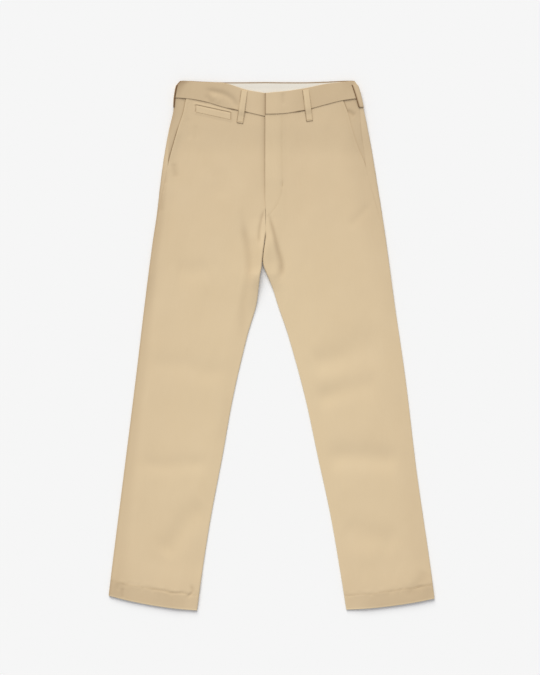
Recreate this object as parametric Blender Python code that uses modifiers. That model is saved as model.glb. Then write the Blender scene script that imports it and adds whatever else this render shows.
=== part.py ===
"""Chino trousers laid flat with the front up, one solid for each piece that a maker cuts.

The waist is at +Y, the wearer's right leg at -X, and the cloth lies on z = 0. Lengths are in
millimetres until a point goes into a mesh. A panel is a grid of points (u, v): u runs across
the cloth and v up it. Each leg is a flat tube, so a place across it is a distance round its
wall, counted from the middle of the outer edge: above 0 on the front, below 0 on the back.
"""

import math

import bmesh
import bpy
from mathutils import Vector

MM = 0.001
RIGHT, LEFT = 0, 1

# Cloth
WALL = 1.2  # twill with its seam allowances
BAND_WALL = 1.6  # the waistband holds an interlining
THIN_WALL = 1.0  # pocket facings, welt and lining
SEAM_GAP = 0.4
ROLL_GAP = 1.4  # along the outside of a rolled seam, which leaves 0.3 inside it
WAIST_GAP = 1.0  # at the waist seam, whose two pieces have unlike facets
CLEARANCE = 0.4  # between a piece and what it lies on

# Section of the flat tube
EDGE_RADIUS = 3.1  # of the rolled outseam and inseam
EDGE_TOP = 2 * EDGE_RADIUS
SINK = 1.6  # the front sinks this far towards the back inside the rolled edges
SINK_REACH = 35.0
BAND_RISE = 0.6  # the waistband stands this far above the panels sewn to it
WAIST_LIFT = 2.2  # the waistband lies on its belt loops
LIFT_FROM, LIFT_TO = 400.0, 470.0
ROLL = EDGE_RADIUS * math.pi / 2  # length of cloth in a quarter roll
EDGE_STEPS = (0.0, 0.6, 2.0, 3.5, 5.2)

# Silhouette of the outseams: distance from X = 0
OUTSEAM = (  # y, right, left
    (-530, 342.4, 342.6),
    (-451, 332.9, 332.2),
    (-262, 308.3, 304.8),
    (-73, 285.3, 282.1),
    (85, 266.2, 259.9),
    (211, 250.2, 242.1),
    (274, 240.8, 233.0),
    (337, 233.6, 223.0),
    (400, 224.9, 212.8),
    (452, 215.2, 203.0),
    (490, 206.2, 195.2),
    (515, 203.6, 189.5),
    (532, 201.5, 185.3),
    (548, 197.0, 180.2),
    (557, 189.0, 173.4),
)

# Inseams from hem to crotch, then the centre seam up to the waistband
CROTCH_Y = 237.0
INNER = (  # y, right, left
    (-553, -155.4, 157.1),
    (-482, -146.0, 145.5),
    (-356, -126.0, 123.3),
    (-230, -101.2, 95.8),
    (-104, -78.3, 68.3),
    (22, -48.3, 34.7),
    (85, -31.2, 13.7),
    (117, -27.3, 3.4),
    (149, -23.4, -9.2),
    (163, -20.8, -15.2),
    (175, -19.0, -18.0),
    (188, -17.2, -16.8),
    (200, -15.4, -15.0),
    (CROTCH_Y, -12.6, -12.2),
    (264, -13.2, -12.8),
    (307, -14.3, -13.9),
    (452, -15.7, -15.3),
    (535, -14.7, -14.3),
)
LEG_SPLITS_AT = 165.0  # below this height the inseam edges are fully rolled

# Waistline: heights at a distance from the centre seam
WAIST_CENTRE_X = -14.5
WAIST = (  # out, seam right, seam left, top right, top left, back top
    (0, 481.5, 486.0, 530.0, 530.0, 553.6),
    (40, 490.8, 487.6, 537.4, 533.8, 553.2),
    (85, 500.2, 494.8, 551.0, 540.5, 553.2),
    (125, 512.2, 505.5, 553.8, 549.4, 554.4),
    (165, 519.0, 515.3, 555.9, 554.6, 556.3),
    (205, 520.5, 520.0, 556.5, 556.5, 556.5),
)
SEAM, TOP, BACK_TOP = (1, 2), (3, 4), (5, 5)
BACK_SEAM_Y, BACK_SEAM_DIP = 520.0, 4.0
LINING_SIDE_MARGIN, LINING_TOP_MARGIN = 24.0, 3.5

# Hems: heights of their corners, and how far they bow down between them
HEM = (  # outer y, inner y, bow
    (-524.0, -555.0, 5.2),
    (-530.0, -553.5, 4.4),
)
CROTCH_ROW_Y = 267.0  # where the row through the crotch meets the outseam
LEG_ROWS, SEAT_ROWS = 26, 16  # of a front; a back has half as many

# Slanted side pockets, as distances round the wall from the middle of the outer edge
FRONT_EDGE = (  # y, right, left: the pocket mouth, then the side seam
    (200, 0.0, 0.0),
    (265, 3.2, 7.8),
    (330, 9.8, 15.8),
    (375, 12.8, 19.8),
    (391, 13.8, 22.8),
    (420, 16.8, 29.8),
    (455, 20.3, 34.8),
    (492, 23.8, 36.8),
    (521, 26.8, 40.8),
)
SIDE_SEAM = (  # y, right, left
    (200, 0.0, 0.0),
    (265, 3.2, 7.8),
    (330, 9.8, 15.8),
    (375, 12.8, 19.8),
    (391, 11.6, 19.4),
    (420, 7.8, 17.8),
    (455, 3.8, 15.8),
    (492, 0.0, 10.8),
    (521, 0.0, 4.8),
)
FACING_FROM = 0.5  # up the seat, where the mouth meets the side seam
FACING_UNDER = 22.0  # how far a facing runs in under the front
FACING_CLEARANCE = 0.7
FACING_SINKS_BY = 0.85  # of the way from the side seam to the mouth

# Fly, left over right
FLY_UNDERLAP = 6.0
FLY_UNDERLAP_ENDS = (265.0, 290.0)
FLY_RAISE, FLY_RAISE_FROM, FLY_RAISE_TO = 2.2, 24.0, 48.0
FLY_RAISE_ENDS = (239.0, 260.0)
BAND_UNDERLAP = 30.0
BAND_RAISE, BAND_RAISE_FROM, BAND_RAISE_TO = 2.1, 33.0, 58.0
SHIELD_X, SHIELD_Y = (-25.0, 20.0), (300.0, 476.0)
SHIELD_HEIGHT = 2.9

# Coin pocket welt: its upper corners and its depth
WELT_FROM, WELT_TO, WELT_DEEP = (-158.3, 505.9), (-85.0, 489.8), 16.5
WELT_CLEARANCE = 0.7

# Belt loops: middles of the upper and lower ends
LOOP_WIDE = 13.5
FRONT_LOOPS = (  # side, top x, top y, bottom x, bottom y
    (RIGHT, -58.6, 535.0, -67.6, 469.0),
    (LEFT, 71.6, 536.5, 79.0, 474.5),
)
SIDE_LOOP_Y = (500.0, 547.0)
SIDE_LOOP_CLEARANCE = 0.95
SIDE_LOOPS = (  # side, round the wall at the top, and at the bottom: from, to
    (RIGHT, (-7.0, 7.0), (-7.0, 6.5)),
    (LEFT, (1.0, 15.5), (-2.5, 11.0)),
)
BACK_LOOP_BELOW_SEAM = 20.0

# The largest folds: troughs below 0, ridges above it
FOLDS = (  # side, from x, from y, to x, to y, bow, half width, height
    (LEFT, -4.0, 275.0, 26.5, 165.0, 0.0, 9.0, -1.5),
    (LEFT, -14.0, 235.0, 8.0, 165.0, 0.0, 9.0, 1.2),
    (RIGHT, -59.6, 275.0, -59.6, 96.0, 16.0, 14.0, -1.4),
    (LEFT, 74.8, -34.0, 211.0, 23.0, -6.0, 14.0, -1.2),
    (LEFT, 91.6, -99.0, 239.0, -59.0, -8.0, 14.0, -1.3),
    (LEFT, 112.6, -225.0, 274.0, -229.0, -4.0, 14.0, -1.5),
    (LEFT, 137.8, -349.0, 280.0, -382.0, 6.0, 18.0, -0.9),
    (RIGHT, -227.6, -424.0, -150.0, -303.0, 6.0, 18.0, -1.0),
    (RIGHT, -210.0, -452.0, -132.0, -325.0, 6.0, 16.0, 1.0),
    (RIGHT, -286.0, -229.0, -118.0, -235.0, 4.0, 16.0, -0.8),
    (RIGHT, -143.6, 541.0, -84.0, 503.0, -8.0, 9.0, 1.4),
)

MATERIALS = {  # colour (linear), roughness
    "cotton_twill": ((0.672, 0.527, 0.342), 0.9),
    "lining_cotton": ((0.76, 0.73, 0.62), 0.9),
}


# ---------------------------------------------------------------- curves and heights


def read(table, column, at):
    """The value of a table's column at a place, on a smooth curve through its rows."""
    at = min(max(at, table[0][0]), table[-1][0])
    last = len(table) - 2
    i = min(max(k for k in range(last + 1) if table[k][0] <= at), last)

    def slope(k):
        low, high = table[max(k - 1, 0)], table[min(k + 1, last + 1)]
        return (high[column] - low[column]) / (high[0] - low[0])

    span = table[i + 1][0] - table[i][0]
    t = (at - table[i][0]) / span
    start, end = table[i][column], table[i + 1][column]
    rise = end - start
    leaving, arriving = slope(i) * span - rise, slope(i + 1) * span - rise
    return start + rise * t + t * (1 - t) * ((1 - t) * leaving - t * arriving)


def mix(a, b, t):
    return a + (b - a) * t


def ease(t):
    """0 below 0 and 1 above 1, with a soft start and end."""
    t = min(max(t, 0.0), 1.0)
    return t * t * (3 - 2 * t)


def between(value, start, end):
    """How far a value has come from start to end, eased."""
    return ease((value - start) / (end - start))


def sign(side):
    """The outward direction along X."""
    return -1 if side == RIGHT else 1


def outer_x(side, y):
    return sign(side) * read(OUTSEAM, 1 + side, y)


def inner_x(side, y):
    return read(INNER, 1 + side, y)


def waistline(line, side, x):
    """The height of the waist seam or of a waistband's top edge at x."""
    return read(WAIST, line[side], abs(x - WAIST_CENTRE_X))


def lift(y):
    """How far the cloth stands off the ground near the waistband."""
    return WAIST_LIFT * between(y, LIFT_FROM, LIFT_TO)


def inner_turn(y):
    """The angle that an inseam edge rolls through: none above the crotch."""
    return max(math.pi / 2 * (1 - between(y, LEG_SPLITS_AT, CROTCH_Y)), 1e-3)


def folds(side, x, y):
    """Each fold is a bell across its line, fading at the line's ends."""
    height = 0.0
    for fold_side, x0, y0, x1, y1, bow, half_width, high in FOLDS:
        if fold_side != side:
            continue
        length = math.hypot(x1 - x0, y1 - y0)
        ax, ay = (x1 - x0) / length, (y1 - y0) / length
        along = ((x - x0) * ax + (y - y0) * ay) / length
        across = (x - x0) * -ay + (y - y0) * ax - 4 * bow * along * (1 - along)
        ends = ease(4 * (along + 0.08)) * ease(4 * (1.08 - along))
        height += high * ends * math.exp(-((across / half_width) ** 2))
    return height


def front_height(side, x, y):
    """The top of the front panels: high at rolled edges, sunk between them, and folded."""
    outer = abs(x - outer_x(side, y))
    inner = abs(x - inner_x(side, y))
    rolled = inner_turn(y) / (math.pi / 2)
    sink = SINK * ease(outer / SINK_REACH) * mix(1, ease(inner / SINK_REACH), rolled)
    flat = ease(outer / SINK_REACH - 0.15) * mix(1, ease(inner / SINK_REACH - 0.15), rolled)
    return EDGE_TOP + lift(y) - sink + flat * folds(side, x, y)


def roll(distance, radius, turn):
    """Cloth that rolls over an edge: how far in from the edge a place on it lies, and how far down.

    The distance is along the cloth from its edge, and the turn is the angle of the roll.
    """
    length = radius * turn
    left = turn - min(distance, length) / radius
    inside = radius * (math.sin(turn) - math.sin(left)) + max(distance - length, 0.0)
    return inside, radius * (1 - math.cos(left))


# ---------------------------------------------------------------- making a sheet


def material(name):
    found = bpy.data.materials.get(name)
    if found:
        return found
    colour, roughness = MATERIALS[name]
    made = bpy.data.materials.new(name)
    made.use_nodes = True
    shader = made.node_tree.nodes["Principled BSDF"]
    shader.inputs["Base Color"].default_value = (*colour, 1)
    shader.inputs["Roughness"].default_value = roughness
    shader.inputs["Metallic"].default_value = 0.0
    return made


def sheet(name, cloth, place, columns, rows, wall=WALL, outward=(0, 0, 1)):
    """A grid whose corner (column, row) goes to place(column, row), thickened inwards."""
    mesh = bpy.data.meshes.new(name)
    grid = bmesh.new()
    bmesh.ops.create_grid(grid, x_segments=columns, y_segments=rows, size=0.5)
    for vert in grid.verts:
        column = round((vert.co.x + 0.5) * columns)
        row = round((vert.co.y + 0.5) * rows)
        vert.co = Vector(place(column, row)) * MM
    grid.normal_update()
    facing = sum((face.normal * face.calc_area() for face in grid.faces), Vector())
    if facing.dot(Vector(outward)) < 0:
        bmesh.ops.reverse_faces(grid, faces=grid.faces)
    grid.to_mesh(mesh)
    grid.free()
    mesh.shade_smooth()
    mesh.materials.append(material(cloth))
    piece = bpy.data.objects.new(name, mesh)
    trousers.objects.link(piece)
    solid = piece.modifiers.new("wall", "SOLIDIFY")
    solid.thickness = wall * MM
    solid.offset = -1
    solid.use_even_offset = True
    solid.use_quality_normals = True
    return piece


def across(start, end, column, columns, finer=1.0):
    """A place across a panel: close steps at both ends, where the cloth may roll.

    Between them the steps are even, or get finer towards the end.
    """
    steps = len(EDGE_STEPS) - 1
    if column <= steps:
        return start + EDGE_STEPS[column]
    if column >= columns - steps:
        return end - EDGE_STEPS[columns - column]
    first, last = start + EDGE_STEPS[-1], end - EDGE_STEPS[-1]
    left = (columns - steps - column) / (columns - 2 * steps)
    return mix(last, first, left**finer)


# ---------------------------------------------------------------- leg panels


def leg_row(side, station, waist, underlap=0.0):
    """A row of a leg at a station: 0 is the hem, 1 the crotch and 2 the waist seam.

    It gives the row's outer and inner ends in plan, and a function that bows a point between
    them as the hem or the waist seam is bowed.
    """
    outer_hem, inner_hem, bow = HEM[side]
    if station <= 1:
        outer_y = mix(outer_hem, CROTCH_ROW_Y, station)
        inner_y = mix(inner_hem, CROTCH_Y, station)
    else:
        outer_y = mix(CROTCH_ROW_Y, waist(outer_x(side, BACK_SEAM_Y)) - WAIST_GAP / 2, station - 1)
        inner_y = mix(CROTCH_Y, waist(WAIST_CENTRE_X) - WAIST_GAP / 2, station - 1)
    outer = Vector((outer_x(side, outer_y), outer_y))
    inner = Vector((inner_x(side, inner_y), inner_y))
    inner.x += underlap * between(inner_y, *FLY_UNDERLAP_ENDS)

    def bowed(point):
        s = (point - outer).length / (inner - outer).length
        hem = -4 * bow * s * (1 - s) * (1 - ease(station / 0.1))
        chord = mix(waist(outer.x), waist(inner.x), s)
        seam = (waist(point.x) - chord) * ease((station - 1.4) / 0.6)
        return Vector((point.x, point.y + hem + seam))

    return outer, inner, bowed


def leg_width(outer, inner):
    """The length of cloth on one face of a leg, from the middle of one edge to the other's."""
    turn = inner_turn(inner.y)
    taken = EDGE_RADIUS * (1 + math.sin(turn))
    return (inner - outer).length - taken + ROLL + EDGE_RADIUS * turn


def on_leg(row, distance):
    """A point of the flat tube's wall: its plan place, and how far its cloth rolls down or up."""
    outer, inner, bowed = row
    width = leg_width(outer, inner)
    direction = (inner - outer).normalized()
    if distance < width / 2:
        inside, drop = roll(distance, EDGE_RADIUS, math.pi / 2)
        return bowed(outer + direction * inside), drop
    inside, drop = roll(width - distance, EDGE_RADIUS, inner_turn(inner.y))
    return bowed(inner - direction * inside), drop


def inner_end(outer, inner):
    """Where a panel ends at its inner edge: half a gap short of it where the edge is rolled."""
    rolled = inner_turn(inner.y) / (math.pi / 2)
    return leg_width(outer, inner) - ROLL_GAP / 2 * rolled


def station_of(row, leg_rows, seat_rows):
    return row / leg_rows if row <= leg_rows else 1 + (row - leg_rows) / seat_rows


def front_panel(side):
    """A front: its outer edge is the side seam, and above that the pocket mouth."""
    name = ("front_right", "front_left")[side]
    columns = 15
    underlap = FLY_UNDERLAP if side == RIGHT else 0.0

    def waist(x):
        return waistline(SEAM, side, x)

    def place(column, row):
        leg = leg_row(side, station_of(row, LEG_ROWS, SEAT_ROWS), waist, underlap)
        outer, inner, _ = leg
        edge = read(FRONT_EDGE, 1 + side, outer.y)
        start = edge + ROLL_GAP / 2
        distance = across(start, inner_end(outer, inner), column, columns, finer=1.4)
        point, drop = on_leg(leg, distance)
        height = front_height(side, point.x, point.y) - drop
        if side == LEFT:
            height += fly_raise(point.x, point.y)
        return point.x, point.y, height

    return sheet(name, "cotton_twill", place, columns, LEG_ROWS + SEAT_ROWS)


def fly_raise(x, y):
    """The left front rides up over the edge of the right one and the shield behind it."""
    near = 1 - between(x - inner_x(LEFT, y), FLY_RAISE_FROM, FLY_RAISE_TO)
    return FLY_RAISE * near * between(y, *FLY_RAISE_ENDS)


def back_waist(x):
    """The seam under the back waistband."""
    out = abs(x - WAIST_CENTRE_X) / WAIST[-1][0]
    return BACK_SEAM_Y - BACK_SEAM_DIP * (1 - ease(out))


def back_panel(side):
    """A back: flat on the ground, then over the outer edge to the side seam."""
    name = ("back_right", "back_left")[side]
    turned, flat, steps = 6, 4, len(EDGE_STEPS) - 1  # columns round the edge, between, and inside
    leg_rows, seat_rows = LEG_ROWS // 2, SEAT_ROWS // 2

    def place(column, row):
        leg = leg_row(side, station_of(row, leg_rows, seat_rows), back_waist)
        outer, inner, _ = leg
        seam = read(SIDE_SEAM, 1 + side, outer.y)
        over = seam - ROLL_GAP / 2
        end = inner_end(outer, inner)
        if column <= turned:
            distance = mix(over, -ROLL, column / turned)
        elif column <= turned + flat:
            distance = -mix(ROLL, end - EDGE_STEPS[-1], (column - turned) / flat)
        else:
            distance = EDGE_STEPS[turned + flat + steps - column] - end
        point, drop = on_leg(leg, abs(distance))
        if distance >= 0:
            return point.x, point.y, front_height(side, point.x, point.y) - drop
        return point.x, point.y, lift(point.y) + drop

    columns = turned + flat + steps
    return sheet(name, "cotton_twill", place, columns, leg_rows + seat_rows, outward=(0, 0, -1))


# ---------------------------------------------------------------- pockets and fly


def pocket_facing(side):
    """The cloth seen beyond a slanted mouth: sewn to the side seam, and running in under the front."""
    name = ("pocket_facing_right", "pocket_facing_left")[side]
    shown, hidden = 5, 3  # columns before and under the front
    rows = SEAT_ROWS // 4

    def waist(x):
        return waistline(SEAM, side, x)

    def place(column, row):
        leg = leg_row(side, 1 + mix(FACING_FROM, 1, row / rows), waist)
        outer = leg[0]
        seam = read(SIDE_SEAM, 1 + side, outer.y)
        start = seam + ROLL_GAP / 2 + SEAM_GAP
        mouth = read(FRONT_EDGE, 1 + side, outer.y)
        if column <= shown:
            distance = mix(start, mouth, column / shown)
        else:
            distance = mix(mouth, mouth + FACING_UNDER, (column - shown) / hidden)
        point, drop = on_leg(leg, distance)
        sunk = (WALL + FACING_CLEARANCE) * ease((distance - start) / (FACING_SINKS_BY * (mouth - start)))
        return point.x, point.y, front_height(side, point.x, point.y) - drop - sunk

    return sheet(name, "cotton_twill", place, shown + hidden, rows, wall=THIN_WALL)


def coin_pocket_welt():
    """A folded strip under the waistband, lying on the right front."""
    columns, rows = 8, 1

    def place(column, row):
        x = mix(WELT_FROM[0], WELT_TO[0], column / columns)
        y = mix(WELT_FROM[1], WELT_TO[1], column / columns) - WELT_DEEP * (1 - row / rows)
        return x, y, front_height(RIGHT, x, y) + WELT_CLEARANCE + THIN_WALL

    return sheet("coin_pocket_welt", "cotton_twill", place, columns, rows, wall=THIN_WALL)


def fly_shield():
    """The strip behind the closed fly, sewn to the right front's edge."""
    columns, rows = 2, 6

    def place(column, row):
        x = mix(*SHIELD_X, column / columns)
        y = mix(*SHIELD_Y, row / rows)
        return x, y, lift(y) + SHIELD_HEIGHT

    return sheet("fly_shield", "cotton_twill", place, columns, rows)


# ---------------------------------------------------------------- waistband and loops


def band_height(side, x, y):
    return front_height(side, x, y) + BAND_RISE


def band_raise(x):
    """The left half of the waistband rides up over the right half's end."""
    return BAND_RAISE * (1 - between(x - WAIST_CENTRE_X, BAND_RAISE_FROM, BAND_RAISE_TO))


def waistband_front(side):
    name = ("waistband_front_right", "waistband_front_left")[side]
    columns, rows = 16, 3
    radius = EDGE_RADIUS + BAND_RISE

    def place(column, row):
        v = row / rows
        side_x = outer_x(side, BACK_SEAM_Y)
        edge_y = mix(waistline(SEAM, side, side_x), waistline(TOP, side, side_x), v)
        edge_x = outer_x(side, edge_y)
        end_x = WAIST_CENTRE_X + (BAND_UNDERLAP if side == RIGHT else SEAM_GAP / 2)
        length = abs(end_x - edge_x) - radius * (1 - math.pi / 2)
        distance = across(ROLL_GAP / 2, length, column, columns)
        inside, drop = roll(distance, radius, math.pi / 2)
        x = edge_x - sign(side) * inside
        y = mix(waistline(SEAM, side, x) + WAIST_GAP / 2, waistline(TOP, side, x), v)
        raised = band_raise(x) if side == LEFT else 0.0
        return x, y, band_height(side, x, y) + raised - drop

    return sheet(name, "cotton_twill", place, columns, rows, wall=BAND_WALL)


def waistband_back():
    """One strip across the back, rolling up at both sides to the front halves."""
    columns, rows = 18, 3

    def place(column, row):
        v = row / rows
        side = RIGHT if column < columns / 2 else LEFT
        edge_top = waistline(BACK_TOP, side, outer_x(side, BACK_SEAM_Y))
        edge_x = outer_x(side, mix(BACK_SEAM_Y, edge_top, v))
        half = abs(WAIST_CENTRE_X - edge_x) - EDGE_RADIUS + ROLL
        from_edge = min(column, columns - column)
        steps = len(EDGE_STEPS) - 1
        if from_edge <= steps:
            distance = ROLL_GAP / 2 + EDGE_STEPS[from_edge]
        else:
            distance = mix(ROLL_GAP / 2 + EDGE_STEPS[-1], half, (from_edge - steps) / (columns / 2 - steps))
        inside, drop = roll(distance, EDGE_RADIUS, math.pi / 2)
        x = edge_x - sign(side) * inside
        y = mix(back_waist(x) + WAIST_GAP / 2, waistline(BACK_TOP, side, x), v)
        return x, y, lift(y) + drop

    return sheet("waistband_back", "cotton_twill", place, columns, rows, BAND_WALL, (0, 0, -1))


def waistband_lining_back():
    """The strip inside the back waistband, just short of its top edge and its sides."""
    columns, rows = 8, 1
    low_x = outer_x(RIGHT, BACK_SEAM_Y) + LINING_SIDE_MARGIN
    high_x = outer_x(LEFT, BACK_SEAM_Y) - LINING_SIDE_MARGIN

    def place(column, row):
        x = mix(low_x, high_x, column / columns)
        side = RIGHT if x < WAIST_CENTRE_X else LEFT
        top = waistline(BACK_TOP, side, x) - LINING_TOP_MARGIN
        y = mix(BACK_SEAM_Y + SEAM_GAP, top, row / rows)
        return x, y, lift(y) + BAND_WALL + CLEARANCE + THIN_WALL

    return sheet("waistband_lining_back", "lining_cotton", place, columns, rows, wall=THIN_WALL)


def belt_loop_front(side, top_x, top_y, bottom_x, bottom_y):
    """A strip from the waistband's top edge to just below its seam."""
    columns, rows = 2, 6
    lean = (top_x - bottom_x) / (top_y - bottom_y)

    def place(column, row):
        t = row / rows
        out = LOOP_WIDE * (column / columns - 0.5)
        x = mix(bottom_x, top_x, t) + out
        y = mix(bottom_y, top_y, t) - out * lean
        return x, y, band_height(side, x, y) + CLEARANCE + WALL

    name = ("belt_loop_front_right", "belt_loop_front_left")[side]
    return sheet(name, "cotton_twill", place, columns, rows)


def belt_loop_side(side, top, bottom):
    """A strip that follows the waistband round its side edge, moved out from the band's wall."""
    columns, rows = 7, 6
    out = SIDE_LOOP_CLEARANCE + WALL

    def place(column, row):
        t = row / rows
        distance = mix(mix(*bottom, column / columns), mix(*top, column / columns), t)
        y = mix(*SIDE_LOOP_Y, t)
        radius = EDGE_RADIUS + (BAND_RISE if distance >= 0 else 0)
        inside, drop = roll(abs(distance), radius, math.pi / 2)
        lean = max(math.pi / 2 - abs(distance) / radius, 0.0)
        x = outer_x(side, y) - sign(side) * (inside - out * math.sin(lean))
        if distance >= 0:
            return x, y, band_height(side, x, y) - drop + out * math.cos(lean)
        return x, y, lift(y) + drop - out * math.cos(lean)

    name = ("belt_loop_side_right", "belt_loop_side_left")[side]
    return sheet(name, "cotton_twill", place, columns, rows, outward=(sign(side), 0, 0.3))


def belt_loop_back_center():
    """A strip under the back waistband, at the centre seam."""
    columns, rows = 2, 4
    top = waistline(BACK_TOP, RIGHT, WAIST_CENTRE_X) - 1.0
    bottom = back_waist(WAIST_CENTRE_X) - BACK_LOOP_BELOW_SEAM

    def place(column, row):
        x = WAIST_CENTRE_X + LOOP_WIDE * (column / columns - 0.5)
        y = mix(bottom, top, row / rows)
        return x, y, lift(y) - CLEARANCE - WALL

    return sheet("belt_loop_back_center", "cotton_twill", place, columns, rows, outward=(0, 0, -1))


# ---------------------------------------------------------------- the trousers

for leftover in list(bpy.data.objects):
    bpy.data.objects.remove(leftover, do_unlink=True)
trousers = bpy.data.collections.new("chino_trousers")
bpy.context.scene.collection.children.link(trousers)

for wearer_side in (RIGHT, LEFT):
    front_panel(wearer_side)
    back_panel(wearer_side)
    pocket_facing(wearer_side)
    waistband_front(wearer_side)
for loop in FRONT_LOOPS:
    belt_loop_front(*loop)
for loop in SIDE_LOOPS:
    belt_loop_side(*loop)
belt_loop_back_center()
waistband_back()
waistband_lining_back()
coin_pocket_welt()
fly_shield()
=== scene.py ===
# %% [markdown]
# # Chino trousers, laid flat
#
# This lesson finishes a pair of khaki cotton trousers that lie on a table with the front up. A
# solid frame with the right sizes exists already. Each cell makes one real piece of the garment as
# a thin sheet of cloth on that frame: the leg panels, the pockets, the waistband and its loops. The
# last cells make the thread, the floor, the light and the camera.
#
# +Y points to the waist, +X to the wearer's left, and the cloth lies on z = 0. Lengths are in
# millimetres until they go into a mesh.

import math

import bpy
import numpy as np
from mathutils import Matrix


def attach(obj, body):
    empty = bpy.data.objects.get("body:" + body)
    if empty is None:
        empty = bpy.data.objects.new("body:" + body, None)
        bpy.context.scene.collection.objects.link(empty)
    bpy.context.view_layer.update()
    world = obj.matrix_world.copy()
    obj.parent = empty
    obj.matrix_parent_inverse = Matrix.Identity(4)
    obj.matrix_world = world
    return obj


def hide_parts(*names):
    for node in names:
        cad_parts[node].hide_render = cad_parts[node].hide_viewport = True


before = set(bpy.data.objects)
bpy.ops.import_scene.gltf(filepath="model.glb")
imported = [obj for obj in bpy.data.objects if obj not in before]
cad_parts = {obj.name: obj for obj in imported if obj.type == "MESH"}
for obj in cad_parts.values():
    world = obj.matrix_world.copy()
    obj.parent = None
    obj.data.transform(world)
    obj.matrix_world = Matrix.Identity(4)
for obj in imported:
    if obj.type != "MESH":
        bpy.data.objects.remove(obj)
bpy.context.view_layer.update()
MM = 0.001
RIGHT, LEFT = 0, 1
SIDES = ("right", "left")


def placed(name, data):
    """A new object in the scene, which holds a mesh, a lamp or a camera."""
    made = bpy.data.objects.new(name, data)
    bpy.context.scene.collection.objects.link(made)
    return made


# %% [markdown]
# ## Smooth curves from short tables
#
# A pattern cutter marks a few points of a seam and joins them with a curved ruler. A table with one
# row for each mark does the same here. Between two marks the curve is a cubic. Its slope at a mark
# is the slope between the marks on both sides, so the curve has no corners.


# %% Curves
def read(table, column, at):
    """A table's column at each place: a cubic between rows, held level past the first and last."""
    rows = np.asarray(table, float)
    knots, values = rows[:, 0], rows[:, column]
    at = np.clip(at, knots[0], knots[-1])
    i = np.clip(np.searchsorted(knots, at, side="right") - 1, 0, len(knots) - 2)
    low = np.maximum(np.arange(len(knots)) - 1, 0)
    high = np.minimum(np.arange(len(knots)) + 1, len(knots) - 1)
    slope = (values[high] - values[low]) / (knots[high] - knots[low])
    span, rise = knots[i + 1] - knots[i], values[i + 1] - values[i]
    t = (at - knots[i]) / span
    leaving, arriving = slope[i] * span - rise, slope[i + 1] * span - rise
    return values[i] + rise * t + t * (1 - t) * ((1 - t) * leaving - t * arriving)


def mix(a, b, t):
    """a plus t times the way from a to b."""
    return a + (b - a) * t


def ease(t):
    """3 t squared less 2 t cubed: 0 below 0 and 1 above 1, with a soft start and end."""
    t = np.clip(t, 0, 1)
    return t * t * (3 - 2 * t)


def between(value, start, end):
    """How far a value has come from start to end, eased."""
    return ease((value - start) / (end - start))


def hill(off, wide):
    """e to the minus square of off over wide: 1 at 0, about a third at wide, and then soon nothing."""
    return np.exp(-((off / wide) ** 2))


def ditch(off, deep, wide):
    """deep times the square of what is left of wide: deepest at 0, and gone from wide on."""
    return deep * (1 - np.clip(off / wide, 0, 1)) ** 2


print("halfway up an eased step:", ease(0.5), "and beside a hill:", round(float(hill(1, 1)), 2))


# %% Grids
def spaced(*stretches):
    """Places along a line. Each stretch is from, to and the step, which is fitted to its length."""
    parts = [
        np.linspace(start, end, max(round((end - start) / step), 1), endpoint=False)
        for start, end, step in stretches
    ]
    return np.append(np.concatenate(parts), stretches[-1][1])


def joined(*parts):
    """Arrays stretched to one shape and laid side by side in a new last axis, such as x, y and z."""
    return np.stack(np.broadcast_arrays(*parts), -1)


print("a grid of", joined(spaced((0, 4, 1)), spaced((0, 2, 1))[:, None]).shape)

# %% [markdown]
# ## The outline
#
# The outline of trousers that lie flat is two outseams, two inseams, the hems and the waist. All
# are distances in millimetres. "Right" is the wearer's right, at -X.

# %% Tables of the outseams and the inseams
OUTSEAM = (  # y, right, left: how far the silhouette is from X = 0
    (-530, 342.4, 342.6),
    (-451, 332.9, 332.2),
    (-262, 309, 304.8),
    (-73, 285.3, 282.1),
    (85, 266.4, 259.3),
    (211, 250.2, 242.1),
    (274, 240.8, 233),
    (337, 233.6, 223),
    (400, 224.9, 212.8),
    (452, 215.2, 203),
    (490, 206.2, 195.2),
    (515, 203.6, 189.5),
    (532, 201.5, 185.3),
    (548, 198.2, 180.2),
    (557, 190.2, 173.4),
)
CROTCH_Y = 237.0
INNER = (  # y, right, left: the inseams, then the centre seam
    (-553, -155.4, 157.1),
    (-482, -146.2, 145.9),
    (-356, -126.4, 124.2),
    (-230, -102.4, 97),
    (-104, -79.7, 69.8),
    (22, -50.2, 35.2),
    (85, -31.7, 13.7),
    (117, -27.1, 3.8),
    (149, -23.4, -9.2),
    (163, -20.8, -15.2),
    (175, -19.6, -18.4),
    (188, -18.2, -17.8),
    (200, -16.8, -16.4),
    (218, -14.2, -13.8),
    (CROTCH_Y, -12.4, -12),
    (264, -12.2, -11.8),
    (290, -13, -12.6),
    (315, -14.3, -13.9),
    (452, -14.2, -13.8),
    (535, -13.2, -12.8),
)
print(len(OUTSEAM), "marks on each outseam and", len(INNER), "on each inseam")

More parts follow.
